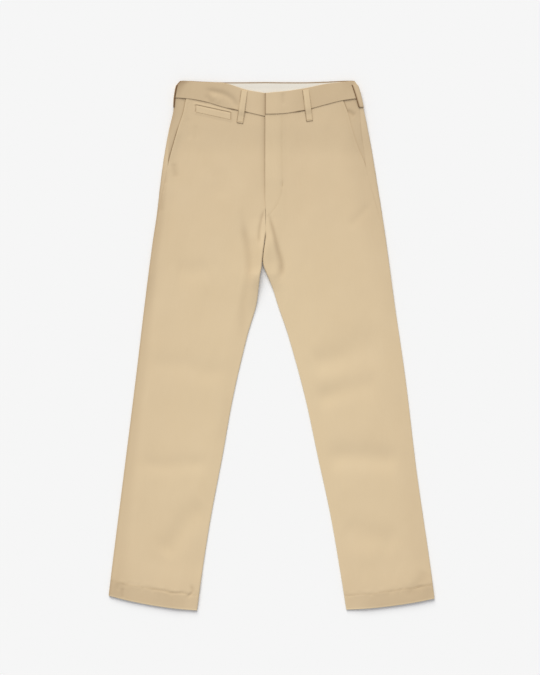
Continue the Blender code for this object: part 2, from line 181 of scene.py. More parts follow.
# %% Tables of the waist and the hems
WAIST_CENTRE_X = -13.3
WAIST = (  # from the centre seam: seam right, seam left, top right, top left, back top
    (0, 481.5, 486, 530, 530, 553.6),
    (40, 490.8, 487.6, 537.4, 533.8, 553.2),
    (85, 500.2, 494.8, 551, 540.5, 553.2),
    (125, 512.2, 505.5, 552.7, 548.8, 554.4),
    (165, 519, 515.3, 554.5, 553.5, 556.3),
    (205, 520.5, 520, 555, 555, 556.5),
)
SEAM, TOP, BACK_TOP = (1, 2), (3, 4), (5, 5)
BACK_SEAM_Y, BACK_SEAM_DIP = 520.0, 4.0
HEM = (  # outer y, inner y, bow
    (-524, -555, 5.2),
    (-530, -553.5, 4.4),
)
CROTCH_ROW_Y = 267.0
LEG_LONG, SEAT_LONG = 792.0, 250.0  # up the leg to the crotch, and from it to the waist seam
WAIST_UP = LEG_LONG + SEAT_LONG
print("from the hem to the waist seam:", WAIST_UP, "mm of cloth")


# %% Reading the outline
def sign(side):
    """The side's direction along x."""
    return -1 if side == RIGHT else 1


def outer_x(side, y):
    """The outseam's edge: the table's distance, to the side's direction."""
    return sign(side) * read(OUTSEAM, 1 + side, y)


def inner_x(side, y):
    """The inseam's edge, or the centre seam above the crotch."""
    return read(INNER, 1 + side, y)


def from_edges(side, x, y):
    """How far a place is along x from the outseam's edge, and from the inseam's."""
    return np.abs(x - outer_x(side, y)), np.abs(x - inner_x(side, y))


def waistline(line, side, x):
    """The height of the waist seam or of a waistband's top edge at x."""
    return read(WAIST, line[side], np.abs(x - WAIST_CENTRE_X))


def front_waist(side):
    """The waist seam of a front, as a function of x."""
    return lambda x: waistline(SEAM, side, x)


def back_waist(x):
    """The seam under the back waistband dips a little at the middle."""
    return BACK_SEAM_Y - BACK_SEAM_DIP * (1 - ease(np.abs(x - WAIST_CENTRE_X) / WAIST[-1][0]))


hem_wide = float(outer_x(LEFT, HEM[LEFT][0]) - inner_x(LEFT, HEM[LEFT][1]))
print("hem to crotch", LEG_LONG, "mm, hem width", round(hem_wide), "mm")

# %% [markdown]
# ## A leg is a flat tube
#
# A trouser leg that lies flat has a front and a back, and both roll over at the outseam and the
# inseam. So a place on it is best given by two lengths of cloth: how far it is up the leg, and how
# far it is round the tube from the outseam's edge. Above 0 is on the front, and below 0 on the
# back. The roll is a quarter circle. A layer inside the tube, such as a folded hem, has the same two
# lengths and a depth, which makes its circle smaller.

# %% Rolled edges
QUARTER = math.pi / 2
EDGE_RADIUS = 3.1
EDGE_TOP = 2 * EDGE_RADIUS
ROLL = EDGE_RADIUS * QUARTER
ROLLED_TO, FLAT_FROM = 205.0, 246.0  # an inseam's rolled edge goes flat between these heights
WAIST_LIFT, LIFT_FROM, LIFT_TO = 2.2, 400.0, 470.0  # the waist lies on its loops
THIN_REACH = 40  # how far in from an edge it is pressed thin
EDGE_THIN = (  # y, right outer, right inner, left outer, left inner: share of the edge's height left
    (-560, 0.75, 0.8, 0.9, 0.55),
    (-500, 0.75, 0.8, 0.9, 0.55),
    (-450, 0.6, 0.5, 0.6, 0.5),
    (60, 0.6, 0.5, 0.6, 0.5),
    (110, 0.75, 0.75, 0.8, 0.6),
    (150, 1, 1, 1, 1),
)


def lift(y):
    """The loops hold the waist up: the lift, eased in over a few centimetres below it."""
    return WAIST_LIFT * between(y, LIFT_FROM, LIFT_TO)


def thin(side, x, y):
    """How thin an edge is pressed: the table's share at the edge, eased to 1 away from it."""
    outer, inner = from_edges(side, x, y)
    shares = [read(EDGE_THIN, 1 + 2 * side + k, y) for k in range(2)]
    return mix(shares[0], 1, ease(outer / THIN_REACH)) * mix(shares[1], 1, ease(inner / THIN_REACH))


def inner_turn(y):
    """The angle that an inseam edge rolls through: a right angle on the legs, none on the seat."""
    return np.maximum(QUARTER * (1 - between(y, ROLLED_TO, FLAT_FROM)), 1e-3)


def roll(distance, radius, turn=QUARTER, depth=0.0):
    """How far in from its edge a place on rolled cloth lies, and how far below the flat.

    It goes round a circle by distance / radius, then straight on. Depth takes from the radius.
    """
    length = radius * turn
    left = turn - np.minimum(distance, length) / radius
    inside = radius * np.sin(turn) - (radius - depth) * np.sin(left) + np.maximum(distance - length, 0)
    return inside, radius - (radius - depth) * np.cos(left)


print("an edge is", EDGE_TOP, "mm high where it isn't pressed")

# %% Places on the tube
LAP_FROM, LAP_TO = 285.0, 310.0  # the right front runs under the fly from here up
BOW_REACH = 0.1  # of the leg's length: how far up the rows are bowed as the hem is
BEND_FROM = LEG_LONG + 0.4 * SEAT_LONG  # from here up they bend as the waist seam does


def leg_row(side, up, waist, underlap=0.0):
    """The outer and inner ends of the rows of a leg, straight lines from one to the other."""
    outer_hem, inner_hem, _ = HEM[side]
    leg, seat = np.minimum(up / LEG_LONG, 1), np.maximum(up - LEG_LONG, 0) / SEAT_LONG
    outer_waist, inner_waist = waist(outer_x(side, BACK_SEAM_Y)), waist(WAIST_CENTRE_X)
    outer_y = mix(outer_hem, CROTCH_ROW_Y, leg) + seat * (outer_waist - CROTCH_ROW_Y)
    inner_y = mix(inner_hem, CROTCH_Y, leg) + seat * (inner_waist - CROTCH_Y)
    lap = underlap * between(inner_y, LAP_FROM, LAP_TO)
    return outer_x(side, outer_y), outer_y, inner_x(side, inner_y) + lap, inner_y


def leg_width(side, up, waist, underlap=0.0):
    """The cloth across one face of a leg: the row's length with arcs in place of the rolls' radii."""
    x0, y0, x1, y1 = leg_row(side, up, waist, underlap)
    turn = inner_turn(y1)
    return np.hypot(x1 - x0, y1 - y0) - EDGE_RADIUS * (1 + np.sin(turn)) + ROLL + EDGE_RADIUS * turn


def on_leg(side, up, distance, waist, underlap=0.0, depth=0.0):
    """x and y of a place on the tube, and how far it has rolled away from the flat.

    The row is bowed as the hem is at the bottom, and as the waist seam is at the top.
    """
    x0, y0, x1, y1 = leg_row(side, up, waist, underlap)
    width = leg_width(side, up, waist, underlap)
    long = np.hypot(x1 - x0, y1 - y0)
    near, drop_near = roll(distance, EDGE_RADIUS, depth=depth)
    far, drop_far = roll(width - distance, EDGE_RADIUS, inner_turn(y1), depth)
    outer_half = distance < width / 2
    s = np.where(outer_half, near, long - far) / long
    x, y = mix(x0, x1, s), mix(y0, y1, s)
    hem = -4 * HEM[side][2] * s * (1 - s) * (1 - ease(up / LEG_LONG / BOW_REACH))
    seam = (waist(x) - mix(waist(x0), waist(x1), s)) * between(up, BEND_FROM, WAIST_UP)
    return x, y + hem + seam, np.where(outer_half, drop_near, drop_far)


print("cloth across a hem:", round(float(leg_width(LEFT, np.array(0.0), back_waist))), "mm")

# %% [markdown]
# ## Creases
#
# Cotton twill keeps the creases of its folding. On the real cloth they are soft troughs and ridges
# about a millimetre high and a few centimetres wide, long or short, straight or curved, at uneven
# distances. A simulation would put them anywhere, so each is listed: a curved path, a height and a
# width at both ends. Across the path the height is a bell curve. A little smooth noise under them
# keeps the rest of the cloth from being as flat as paper.

# %% Creases laid one by one
CREASES = (  # side, height, half width, painted shade, path. A pair is for the path's start and end
    # crotch
    (RIGHT, -0.9, (2.5, 3.4), 0.22, ((-16, 283), (-22, 262), (-26, 236), (-26, 216))),
    (RIGHT, (-1.1, -1.6), (7, 10), 0.085,
     ((-62, 275), (-56, 236), (-50, 201), (-49, 172), (-50, 143), (-54, 113), (-59, 75), (-62, 10))),
    (RIGHT, -0.5, 7, 0.07, ((-58, 248), (-52, 215), (-47, 172), (-49, 135))),
    (RIGHT, 0, 13, 0.08, ((-36, 235), (-32, 190), (-33, 150))),
    (LEFT, (-1.2, -2.2), (2.3, 6.4), 0.27,
     ((-5, 275), (-1, 260), (6.5, 233), (13.5, 203), (20, 178), (21.5, 158), (18, 140))),
    (LEFT, 0.8, (4, 6), 0, ((-1, 235), (5, 205), (9, 170), (9, 140))),
    # hips
    (RIGHT, -1.1, 22, 0, ((-200, 160), (-165, 157), (-130, 166))),
    (RIGHT, -0.6, 15, 0, ((-112, 354), (-106, 326))),
    (RIGHT, -0.6, 6, 0.12, ((-205, 384), (-200, 352))),
    (RIGHT, -0.6, 5, 0.06, ((-224, 364), (-223, 338))),
    (RIGHT, -0.6, 5, 0.05, ((-230, 312), (-229, 280))),
    (RIGHT, -0.6, (4, 6), 0, ((-175, 479), (-171, 432))),
    (RIGHT, -0.35, (3, 5), 0, ((-158, 462), (-156, 432))),
    (LEFT, -0.6, (8, 10), 0.02, ((205, 296), (187, 275), (162, 250))),
    (LEFT, -0.6, 3, 0.05, ((23, 345), (23, 332))),
    # thighs and knees, left
    (LEFT, (-2.4, -2), (22, 42), 0, ((86, -42), (110, -34), (150, -22), (186, -4), (228, 2))),
    (LEFT, (-2.4, -0.8), (20, 26), 0, ((92, -114), (113, -107), (150, -94), (186, -86), (228, -78))),
    (LEFT, -2.3, 24, 0, ((113, -233), (169, -231), (218, -234), (270, -240))),
    (LEFT, (-1.2, -1.7), 30, 0, ((150, -376), (186, -397), (228, -405), (266, -410))),
    (LEFT, -0.5, 25, 0, ((182, -471), (228, -471), (266, -487))),
    # thighs and knees, right
    (RIGHT, (-0.8, -1.2), 22, 0, ((-265, -34), (-221, -40), (-179, -42), (-137, -55), (-95, -59))),
    (RIGHT, -1, 18, 0, ((-276, -244), (-221, -252), (-179, -248), (-129, -248))),
    (RIGHT, (-2, -2.1), (24, 26), 0.02, ((-228, -441), (-198, -400), (-170, -362), (-137, -334))),
    (RIGHT, 0, 14, 0.045, ((-84, -100), (-93, -150), (-106, -205))),
    # hems
    (RIGHT, -1.1, 3, 0.12, ((-178, -527), (-171, -522), (-165, -515), (-169, -502))),
    (RIGHT, -0.8, 3, 0.06, ((-312, -508), (-312, -529))),
    (RIGHT, -0.7, 2.5, 0, ((-322, -498), (-322, -513))),
    (LEFT, -0.8, 12, 0.07, ((280, -519), (298, -510), (308, -501), (317, -488), (325, -471))),
    (LEFT, 0, 12, 0.06, ((215, -549), (262, -546), (312, -538))),
)
BACK_CREASES = (  # only ridges, because the back lies on the table
    (RIGHT, 1.2, (7, 9), 0, ((-75, 250), (-95, 205), (-120, 175))),
    (LEFT, 1.3, (7, 10), 0, ((45, 262), (68, 215), (100, 185))),
    (RIGHT, 0.9, (9, 12), 0, ((-85, 30), (-150, 45), (-250, 30))),
    (LEFT, 1.1, (8, 12), 0, ((85, 65), (150, 80), (230, 70))),
    (LEFT, 0.8, (7, 8), 0, ((118, -170), (190, -160), (265, -168))),
    (RIGHT, 0.8, 9, 0, ((-110, -165), (-190, -175), (-265, -160))),
    (LEFT, 0.7, (12, 9), 0, ((60, 420), (110, 395), (170, 400))),
)
print(len(CREASES), "creases on the fronts and", len(BACK_CREASES), "on the backs")


# %% Bells
def along_path(marks):
    """The length of a path of straight lines up to each of its marks."""
    return np.append(0, np.cumsum(np.linalg.norm(np.diff(marks, axis=0), axis=1)))


def bell(x, y, high, wide, path):
    """High times a hill of the distance to the nearest place on a path.

    High and wide may be pairs, for the start and the end. The path is smoothed with the same curve
    as the tables. A long bell fades over the first and the last fifth of its path.
    """
    high, wide = np.broadcast_to(high, 2), np.broadcast_to(wide, 2)
    marks = np.asarray(path, float)
    along = along_path(marks)
    table = np.column_stack([along, marks])
    places = np.linspace(0, along[-1], 4 * len(path))
    px, py = read(table, 1, places), read(table, 2, places)
    best, where = np.full(np.broadcast(x, y).shape, np.inf), 0.0
    for i in range(len(places) - 1):
        dx, dy = px[i + 1] - px[i], py[i + 1] - py[i]
        t = np.clip(((x - px[i]) * dx + (y - py[i]) * dy) / (dx * dx + dy * dy), 0, 1)
        off = np.hypot(x - px[i] - t * dx, y - py[i] - t * dy)
        where = np.where(off < best, (i + t) / (len(places) - 1), where)
        best = np.minimum(best, off)
    long = np.clip((along[-1] / max(wide) - 2) / 1.2, 0, 1)
    fade = mix(1, ease(0.25 + 4 * where) * ease(0.25 + 4 * (1 - where)), long)
    return mix(*high, where) * fade * hill(best, mix(*wide, where))


print("beside a straight crease:", round(float(bell(3.0, 0.0, 1.0, 3.0, ((0, -9), (0, 9)))), 2))

# %% Noise
LATTICE, LATTICE_START = 256, 97  # squares a side, and where x and y are 0


def noise(x, y, size, seed):
    """Smooth noise from -1 to 1: random heights on a square lattice, joined by eased steps."""
    lattice = np.random.default_rng(seed).uniform(-1, 1, (LATTICE, LATTICE))
    x, y = x / size + LATTICE_START, y / size + LATTICE_START
    i, j = np.floor(x).astype(int), np.floor(y).astype(int)
    u, v = ease(x - i), ease(y - j)
    at = lambda a, b: lattice[(i + a) % LATTICE, (j + b) % LATTICE]
    return mix(mix(at(0, 0), at(1, 0), u), mix(at(0, 1), at(1, 1), u), v)


def ripple(along, size, seed):
    """Smooth noise along one length."""
    return noise(along, 0 * along, size, seed)


SOFT = ((0.45, 0.45, 34, 3), (0.12, 0.6, 15, 5))  # height, squeeze along y, size, seed


def add_bells(total, table, side, x, y):
    """The total with the bell of each of the side's rows added to it."""
    for row_side, high, wide, _, path in table:
        if row_side == side:
            total = total + bell(x, y, high, wide, path)
    return total


def creases(table, side, x, y):
    """All the bells of one side, and soft noise that is long down the leg."""
    soft = sum(high * noise(x, squeeze * y, size, seed) for high, squeeze, size, seed in SOFT)
    return add_bells(soft, table, side, x, y)


def crease_shade(side, x, y):
    """How much shade is painted along a side's narrow creases."""
    total = 0.0
    for row_side, _, wide, pressed, path in CREASES:
        if row_side == side and pressed > 0:
            total = total + bell(x, y, pressed, wide, path)
    return total


print("deep in a crease:", round(float(creases(CREASES, LEFT, 169.0, -231.0)), 1), "mm")

# %% The top of a front
SINK, SINK_REACH = 1.6, 35.0  # the front sinks between its rolled edges
CREASED_FROM = (16, 12)  # creases ease in over this much from the outseam and the inseam
DROP_REACH = 14  # how far in from the edge it is pressed
EDGE_DROP = (  # y, right, left: how far the outseam's edge is pressed below a half circle
    (-530, 0.5, 0),
    (150, 0.6, 0.5),
    (240, 1.6, 1.2),
    (330, 2.3, 1.8),
    (430, 2.2, 1.6),
    (485, 0, 0),
)
CROTCH_STAND = (  # y, right, left: how far the thick inseam stands off the table below the crotch
    (20, 0, 0),
    (75, 1.5, 0),
    (113, 5, 0),
    (143, 9, 1.5),
    (172, 6.7, 2.4),
    (200, 5.2, 3),
    (237, 2, 2),
    (268, 0, 0),
)
FRONT_STAND_REACH, BACK_STAND_REACH = (45.0, 36.0), (42.0, 33.0)


def edge_drop(side, y):
    """The table's drop at a height."""
    return read(EDGE_DROP, 1 + side, y)


def stand(side, x, y, reach):
    """How far the cloth beside the inseam is lifted, eased to nothing at the side's reach from it."""
    off = np.abs(x - inner_x(side, y))
    return np.maximum(read(CROTCH_STAND, 1 + side, y), 0) * (1 - ease(off / reach[side]))


def front_top(side, x, y):
    """The top of a front: high at its rolled edges, sunk between them, and creased."""
    outer, inner = from_edges(side, x, y)
    rolled = inner_turn(y) / QUARTER
    sink = SINK * ease(outer / SINK_REACH) * mix(1, ease(inner / SINK_REACH), rolled)
    free = ease(outer / CREASED_FROM[0]) * mix(1, ease(inner / CREASED_FROM[1]), rolled)
    edges = stand(side, x, y, FRONT_STAND_REACH) - ditch(outer, edge_drop(side, y), DROP_REACH)
    return EDGE_TOP + lift(y) - sink + edges + free * creases(CREASES, side, x, y)


print("the middle of a thigh is", round(float(front_top(LEFT, 150.0, 60.0)), 1), "mm high")

# %% [markdown]
# ## From a grid of points to a sheet of cloth
#
# A sheet could be a flat mesh with a Solidify modifier, but then its cut edges are square. Pressed
# cloth has round edges. So each sheet is two skins on one grid. The lower skin is the upper one
# moved in along its normals. Near the border the distance between them shrinks as in a half circle,
# until they share the border's points. The mesh is closed, and its edges are round.
#
# The UV map holds the place on the cut cloth in metres, so the weave follows the cloth. A number at
# each point, "painted_shade", says how much shade is painted into its colour, as in a ditch.
# Another, "light_and_wear", says how much lighter it is painted, for light and for wear.


# %% Two skins
def normals(points):
    """Unit vectors square to the grid: the cross product of its slopes along rows and columns."""
    across, up = np.gradient(points, axis=1), np.gradient(points, axis=0)
    normal = np.cross(across, up)
    return normal / np.maximum(np.linalg.norm(normal, axis=2, keepdims=True), 1e-9)


def border_distance(points):
    """How far each point is along the grid's lines from the nearest border."""
    steps_u = np.linalg.norm(np.diff(points, axis=1), axis=2)
    steps_v = np.linalg.norm(np.diff(points, axis=0), axis=2)
    u = np.pad(np.cumsum(steps_u, axis=1), ((0, 0), (1, 0)))
    v = np.pad(np.cumsum(steps_v, axis=0), ((1, 0), (0, 0)))
    return np.minimum(np.minimum(u, u[:, -1:] - u), np.minimum(v, v[-1:] - v))


def cloth(node, outer, uv, painted_shade, thick, finish, outward=(0, 0, 1), light_and_wear=0.0):
    """A closed sheet whose upper skin is the grid: middle plus and minus normal times half thickness."""
    rows, columns = outer.shape[:2]
    normal = normals(outer)
    turned = (normal @ np.asarray(outward, float)).mean() < 0
    normal = -normal if turned else normal
    half = np.broadcast_to(np.asarray(thick, float) / 2, (rows, columns))
    near = np.clip(border_distance(outer) / half, 0, 1)
    swell = (half * np.sqrt(1 - (1 - near) ** 2))[..., None]
    middle = outer - normal * half[..., None]
    free = np.zeros((rows, columns), bool)
    free[1:-1, 1:-1] = True
    upper = np.arange(rows * columns).reshape(rows, columns)
    lower = upper.copy()
    lower[free] = rows * columns + np.arange(free.sum())
    points = np.concatenate([(middle + normal * swell).reshape(-1, 3), (middle - normal * swell)[free]])
    ring = lambda at: joined(at[:-1, :-1], at[:-1, 1:], at[1:, 1:], at[1:, :-1]).reshape(-1, 4)
    faces = np.concatenate([ring(upper), ring(lower)[:, ::-1]])
    faces = faces[:, ::-1] if turned else faces
    source = np.concatenate([upper.ravel(), upper[free]])
    tones = [np.broadcast_to(tone, (rows, columns)).reshape(-1)[source] for tone in (painted_shade, light_and_wear)]
    return piece(node + "_cloth", points, faces, uv.reshape(-1, 2)[source], tones, finish)


square = joined(np.arange(5.0), np.arange(5.0)[:, None], 0.0)
print("the middle of a 4 mm square is", border_distance(square)[2, 2], "mm from its border")


# %% Into a mesh
def piece(name, points, faces, uv, tones, finish):
    """Puts arrays into a mesh, in metres: faces of four corners, a UV and two tones for each point."""
    mesh = bpy.data.meshes.new(name)
    mesh.vertices.add(len(points))
    mesh.vertices.foreach_set("co", (points * MM).astype(np.float32).ravel())
    mesh.loops.add(faces.size)
    mesh.loops.foreach_set("vertex_index", faces.astype(np.int32).ravel())
    mesh.polygons.add(len(faces))
    mesh.polygons.foreach_set("loop_start", np.arange(0, faces.size, 4, dtype=np.int32))
    mesh.update(calc_edges=True)
    layer = mesh.uv_layers.new(name="cut")
    layer.data.foreach_set("uv", (uv * MM)[faces.ravel()].astype(np.float32).ravel())
    for title, tone in zip(("painted_shade", "light_and_wear"), tones):
        mesh.attributes.new(title, "FLOAT", "POINT").data.foreach_set("value", tone.astype(np.float32))
    mesh.shade_smooth()
    mesh.materials.append(finish)
    made = placed(name, mesh)
    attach(made, "root")
    return made


def stand_in(made):
    """The sheet takes the place of its solid in the frame, and its cut is stated in metres."""
    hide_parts(made.name.removesuffix("_cloth"))
    cut = round(sum(face.area for face in made.data.polygons) / 2, 4)
    print(made.name, len(made.data.polygons), "faces,", cut, "m2")


print("a millimetre of cloth is", MM, "m in a mesh")

# %% [markdown]
# ## The finish: khaki cotton twill
#
# Twill is woven so that its threads make fine diagonal ribs. Cotton yarn is uneven, which gives
# faint streaks along the threads, and garment dye takes unevenly, which gives clouds as wide as a
# hand. The cloth is matt, with a trace of sheen from loose fibres. Real ribs are 0.6 mm apart. They
# are drawn at 1.5 mm, because finer ones can't be seen. The lining is a plain weave, whose threads
# are drawn 1 mm apart.


# %% Materials and nodes
def srgb(code):
    """A hex colour as linear light: each channel c becomes ((c + 0.055) / 1.055) to the power 2.4."""
    c = np.array([int(code[i : i + 2], 16) for i in (0, 2, 4)]) / 255
    return (*np.where(c <= 0.04045, c / 12.92, ((c + 0.055) / 1.055) ** 2.4), 1.0)


def add(tree, kind, inputs=None, **settings):
    """Adds a node. An input is a number, a colour or another node's output."""
    node = tree.nodes.new("ShaderNode" + kind)
    for key, value in settings.items():
        setattr(node, key, value)
    for key, value in (inputs or {}).items():
        if isinstance(value, bpy.types.NodeSocket):
            tree.links.new(value, node.inputs[key])
        else:
            node.inputs[key].default_value = value
    return node


def finish_of(name, sockets):
    """A new material with its node tree, and its shader with even values on the named sockets."""
    made = bpy.data.materials.new(name)
    made.use_nodes = True
    shader = made.node_tree.nodes["Principled BSDF"]
    for socket, value in sockets.items():
        shader.inputs[socket].default_value = value
    return made, made.node_tree, shader


def wave_scale(size):
    """The wave node's scale for bands this many millimetres apart: 2 pi over 20 times the size."""
    return 2 * math.pi / (20 * size * MM)


print("ribs 1.5 mm apart need a scale of", round(wave_scale(1.5)))

# %% Twill and lining
STREAKS = (650, 22, 1)  # in a metre of cloth: 1.5 mm wide and 45 mm long
CLOUDS = 11.0  # in a metre of cloth: 9 cm wide


def woven(name, light, dark, pressed, lightened, rib, rib_angle, bump, sheen):
    """Woven cotton: colour from clouds, streaks, painted shade and light, and bump from ribs and streaks.
    """
    made, tree, shader = finish_of(
        name,
        {"Roughness": 0.9, "Sheen Weight": sheen, "Sheen Roughness": 0.6, "Specular IOR Level": 0.25},
    )
    uv = add(tree, "UVMap", uv_map="cut").outputs["UV"]
    turned = add(tree, "Mapping", {"Vector": uv, "Rotation": (0, 0, rib_angle)}).outputs["Vector"]
    wave = {"Vector": turned, "Scale": wave_scale(rib), "Distortion": 0.6, "Detail Scale": 4.0}
    ribs = add(tree, "TexWave", wave).outputs["Fac"]
    long = add(tree, "Mapping", {"Vector": uv, "Scale": STREAKS}).outputs["Vector"]
    streaks = add(tree, "TexNoise", {"Vector": long, "Scale": 1.0, "Detail": 2.0}).outputs["Fac"]
    clouds = add(tree, "TexNoise", {"Vector": uv, "Scale": CLOUDS, "Detail": 3.0}).outputs["Fac"]
    blend = 0.0
    for layer, share in ((streaks, 0.35), (clouds, 0.5), (ribs, 0.15)):
        blend = add(tree, "Math", {0: layer, 1: share, 2: blend}, operation="MULTIPLY_ADD").outputs[0]
    colour = add(tree, "Mix", {0: blend, 6: srgb(dark), 7: srgb(light)}, data_type="RGBA").outputs[2]
    # the pale tint adds painted light and wear, and the pressed tint adds painted shade
    for title, tint in (("light_and_wear", lightened), ("painted_shade", pressed)):
        tone = add(tree, "Attribute", attribute_name=title).outputs["Fac"]
        colour = add(tree, "Mix", {0: tone, 6: colour, 7: srgb(tint)}, data_type="RGBA").outputs[2]
    tree.links.new(colour, shader.inputs["Base Color"])
    relief = add(tree, "Math", {0: streaks, 1: 0.8, 2: ribs}, operation="MULTIPLY_ADD").outputs[0]
    bumped = add(tree, "Bump", {"Height": relief, "Strength": bump, "Distance": 0.12 * MM})
    tree.links.new(bumped.outputs["Normal"], shader.inputs["Normal"])
    return made


# dyed khaki: warm and even, with a brown tint for painted shade and a pale tint for painted light and wear
twill = woven(
    "cotton_twill", "dbc5a3", "d2ba95", "6e4d2b", "e9d4ac", 1.5, math.radians(-30), 0.5, 0.08
)
# undyed cream cotton, thinner and plainer than the twill
lining = woven("lining_cotton", "ede8dc", "e3dcd0", "b8ad98", "f4f0e8", 1.0, 0.0, 0.4, 0.05)
print("finishes:", twill.name, lining.name)

# %% [markdown]
# ## Leg panels
#
# Each leg has a front and a back, sewn together at the outseam and the inseam. A sewn seam is a
# small ditch: both edges turn in, and the stitches pull them down. At the hem the cloth turns up
# inside the leg, and the row of stitches that holds it presses a line across the leg. So a panel's
# grid starts inside the leg, goes round the fold and then up to the waist.

# %% Hems
HEM_DEEP, HEM_TURN = (32.0, 29.5), 34.0  # up to the stitches, and turned up
HEM_FOLD = 0.75  # the fold's radius
FOLD_LONG = math.pi * HEM_FOLD
HEM_STAND, STAND_UP = 0.7, 90  # how far the open hem's front stands off, and how far up it does so
STAND_IN = (30, 45)  # and how far in from the outseam and the inseam it eases in
HEM_UP = spaced((-HEM_TURN - FOLD_LONG, -FOLD_LONG, 3.0), (-FOLD_LONG, 0, 0.3), (0, 45, 1.3))
HEM_LINE = (  # mm from the outseam, right, left: how clear the hem's line of stitches is
    (0, 0.3, 0.8),
    (60, 0.1, 0.6),
    (90, 0.7, 0.6),
    (120, 1.2, 0.5),
    (150, 1.2, 0.6),
    (175, 0.3, 0.8),
)


def hem_path(up):
    """Where cloth goes that is longer than the leg: below 0 it turns round the fold, then up inside."""
    angle = np.clip(-up / HEM_FOLD, 0, math.pi)
    inside = np.maximum(-up - FOLD_LONG, 0)
    along = HEM_FOLD * (1 - np.sin(angle)) + np.maximum(up, 0) + inside
    return along, HEM_FOLD * (1 - np.cos(angle))


def hem_line(side, distance):
    """How far up the hem's stitches are, which isn't quite straight, and how clear they are."""
    return HEM_DEEP[side] + 1.2 * ripple(distance, 22.0, 11), read(HEM_LINE, 1 + side, np.abs(distance))


def hem_relief(side, up, distance):
    """The cloth swells above the hem's stitches, dips at them, and falls from them to the fold."""
    line, clear = hem_line(side, distance)
    above = 1.1 * between(up, line + 60, line) * between(up, line - 5, line + 1)
    below = 1.1 * between(up, 0, line) * between(up, line + 1, line - 5)
    dip = -0.5 * clear * hill(up - line, 2.6)
    puckers = 0.35 * noise(distance, up, 7.0, 12) * hill(up - line, 8)
    return mix(0.4, 1, clear) * (above + below) + dip + puckers


def hem_stand(side, x, y, up):
    """The open hem's front stands off the back: most at the fold, and nothing at the sides."""
    outer, inner = from_edges(side, x, y)
    return HEM_STAND * (1 - ease(up / STAND_UP)) * ease(outer / STAND_IN[0]) * ease(inner / STAND_IN[1])


def hem_shade(side, up, distance):
    """Painted shade: a little above the hem's stitches, dark below them, and darkest along them."""
    line, clear = hem_line(side, distance)
    broken = clear * (0.7 + 0.3 * ripple(distance, 16.0, 13))
    thick = 0.09 - 0.075 * between(np.abs(distance), 130, 172)
    stitched = 0.18 * broken * hill(up - line, 2.5) + thick * between(up, line + 2, line - 3)
    return stitched + 0.03 * between(up, line + 60, line)


print("hems are turned up by", HEM_TURN, "mm")

# %% Seams and pocket mouths
CLOTH = 0.7
SEAM_DEEP, SEAM_WIDE = 0.28, 1.8
SEWN = 0.25  # two sewn edges run this far into each other
TUCK = 6.0  # the panels run this far up under the waistband
EDGE_IN = np.array([0, 0.08, 0.2, 0.35, 0.6, 1.0, 1.5, 2.1, 2.9, 3.9, 5.1, 6.6])
POCKET = (  # y, from the outseam's edge to the mouth, right, left, and to the side seam, right, left
    (200, 0, 0, 0, 0),
    (265, 3.2, 7.8, 3.2, 7.8),
    (330, 9.8, 15.8, 9.8, 15.8),
    (375, 12.8, 19.8, 12.8, 19.8),
    (391, 13.8, 22.8, 11.6, 19.4),
    (420, 16.8, 29.8, 7.8, 17.8),
    (455, 20.3, 34.8, 3.8, 15.8),
    (492, 23.8, 36.8, 0, 10.8),
    (521, 26.8, 40.8, 0, 4.8),
)


def mouth_at(side, y):
    """The cloth between the outseam's edge and the pocket's mouth."""
    return read(POCKET, 1 + side, y)


def side_seam_at(side, y):
    """The cloth between the outseam's edge and the side seam."""
    return read(POCKET, 3 + side, y)


def columns_of(start, end, fractions):
    """Distances across each row: fine steps at both edges, and the given shares between them."""
    reach = EDGE_IN[-1]
    middle = start + reach + fractions[1:-1] * (end - start - 2 * reach)
    return np.concatenate([start + EDGE_IN, middle, end - EDGE_IN[::-1]], axis=1)


def seam_ditch(from_edge):
    """Depth of a sewn edge, deepest at the edge."""
    return ditch(from_edge, SEAM_DEEP, SEAM_WIDE)


def seam_puckers(up, from_edge, seed):
    """Small waves along a seam, gone 12 mm from it."""
    return 0.16 * ripple(up, 6.5, seed) * hill(from_edge, 6)


def patchy(up, seed):
    """How much shade is painted in a seam's ditch: uneven along it."""
    return 0.04 + 0.04 * ripple(up, 14.0, seed)


print("a pocket's mouth is", round(float(mouth_at(LEFT, 521.0)), 1), "mm in from the edge at the waist")

# %% Fly and coin pocket
FLY_LAP = (6.0, 0.0)  # the right front runs on under the left one by this much
FLY_RAISE = ((240, 0.0), (262, 0.3), (288, 0.9), (350, 2.2))  # y, how far the left front rides up
FLY_RAISE_FROM, FLY_RAISE_TO = 24.0, 48.0  # it does so up to here from the edge, and no more beyond
J_STITCH = ((22, 482), (22, 400), (23, 345), (20, 318), (9, 292), (-5, 276), (-12, 271))
WELT_FROM, WELT_TO, WELT_DEEP = (-158.3, 505.9), (-85.0, 489.8), 16.5
WELT_LONG = math.dist(WELT_FROM, WELT_TO)
WELT_BED = 0.9  # how far the front sinks under the welt
LIP_REACH = 6  # how wide the lip round the opening is


def fly_raise(x, y):
    """The left front rides up over the right one at the closed fly."""
    near = 1 - between(x - inner_x(LEFT, y), FLY_RAISE_FROM, FLY_RAISE_TO)
    return near * read(FLY_RAISE, 1, y)


def in_welt(x, y):
    """How far a place is outside the coin pocket's opening, how far inside it, and how near its foot."""
    along = (x - WELT_FROM[0]) / (WELT_TO[0] - WELT_FROM[0])
    down = mix(WELT_FROM[1], WELT_TO[1], along) - y
    over_x = np.maximum(-along, along - 1) * WELT_LONG
    over_y = np.maximum(-down, down - WELT_DEEP)
    outside = np.hypot(np.maximum(over_x, 0), np.maximum(over_y, 0))
    return outside, np.maximum(-np.maximum(over_x, over_y), 0), between(down, WELT_DEEP - 3, WELT_DEEP + 1)


def welt_lip(x, y):
    """The front swells to a lip round the opening, least at its foot, and sinks inside it."""
    outside, inside, foot = in_welt(x, y)
    lip = mix(0.7, 0.4, foot)
    sunk = mix(lip, -WELT_BED, between(inside, 0, 1.1))
    return np.where(inside > 0, sunk, lip * (1 - ease(outside / LIP_REACH)))


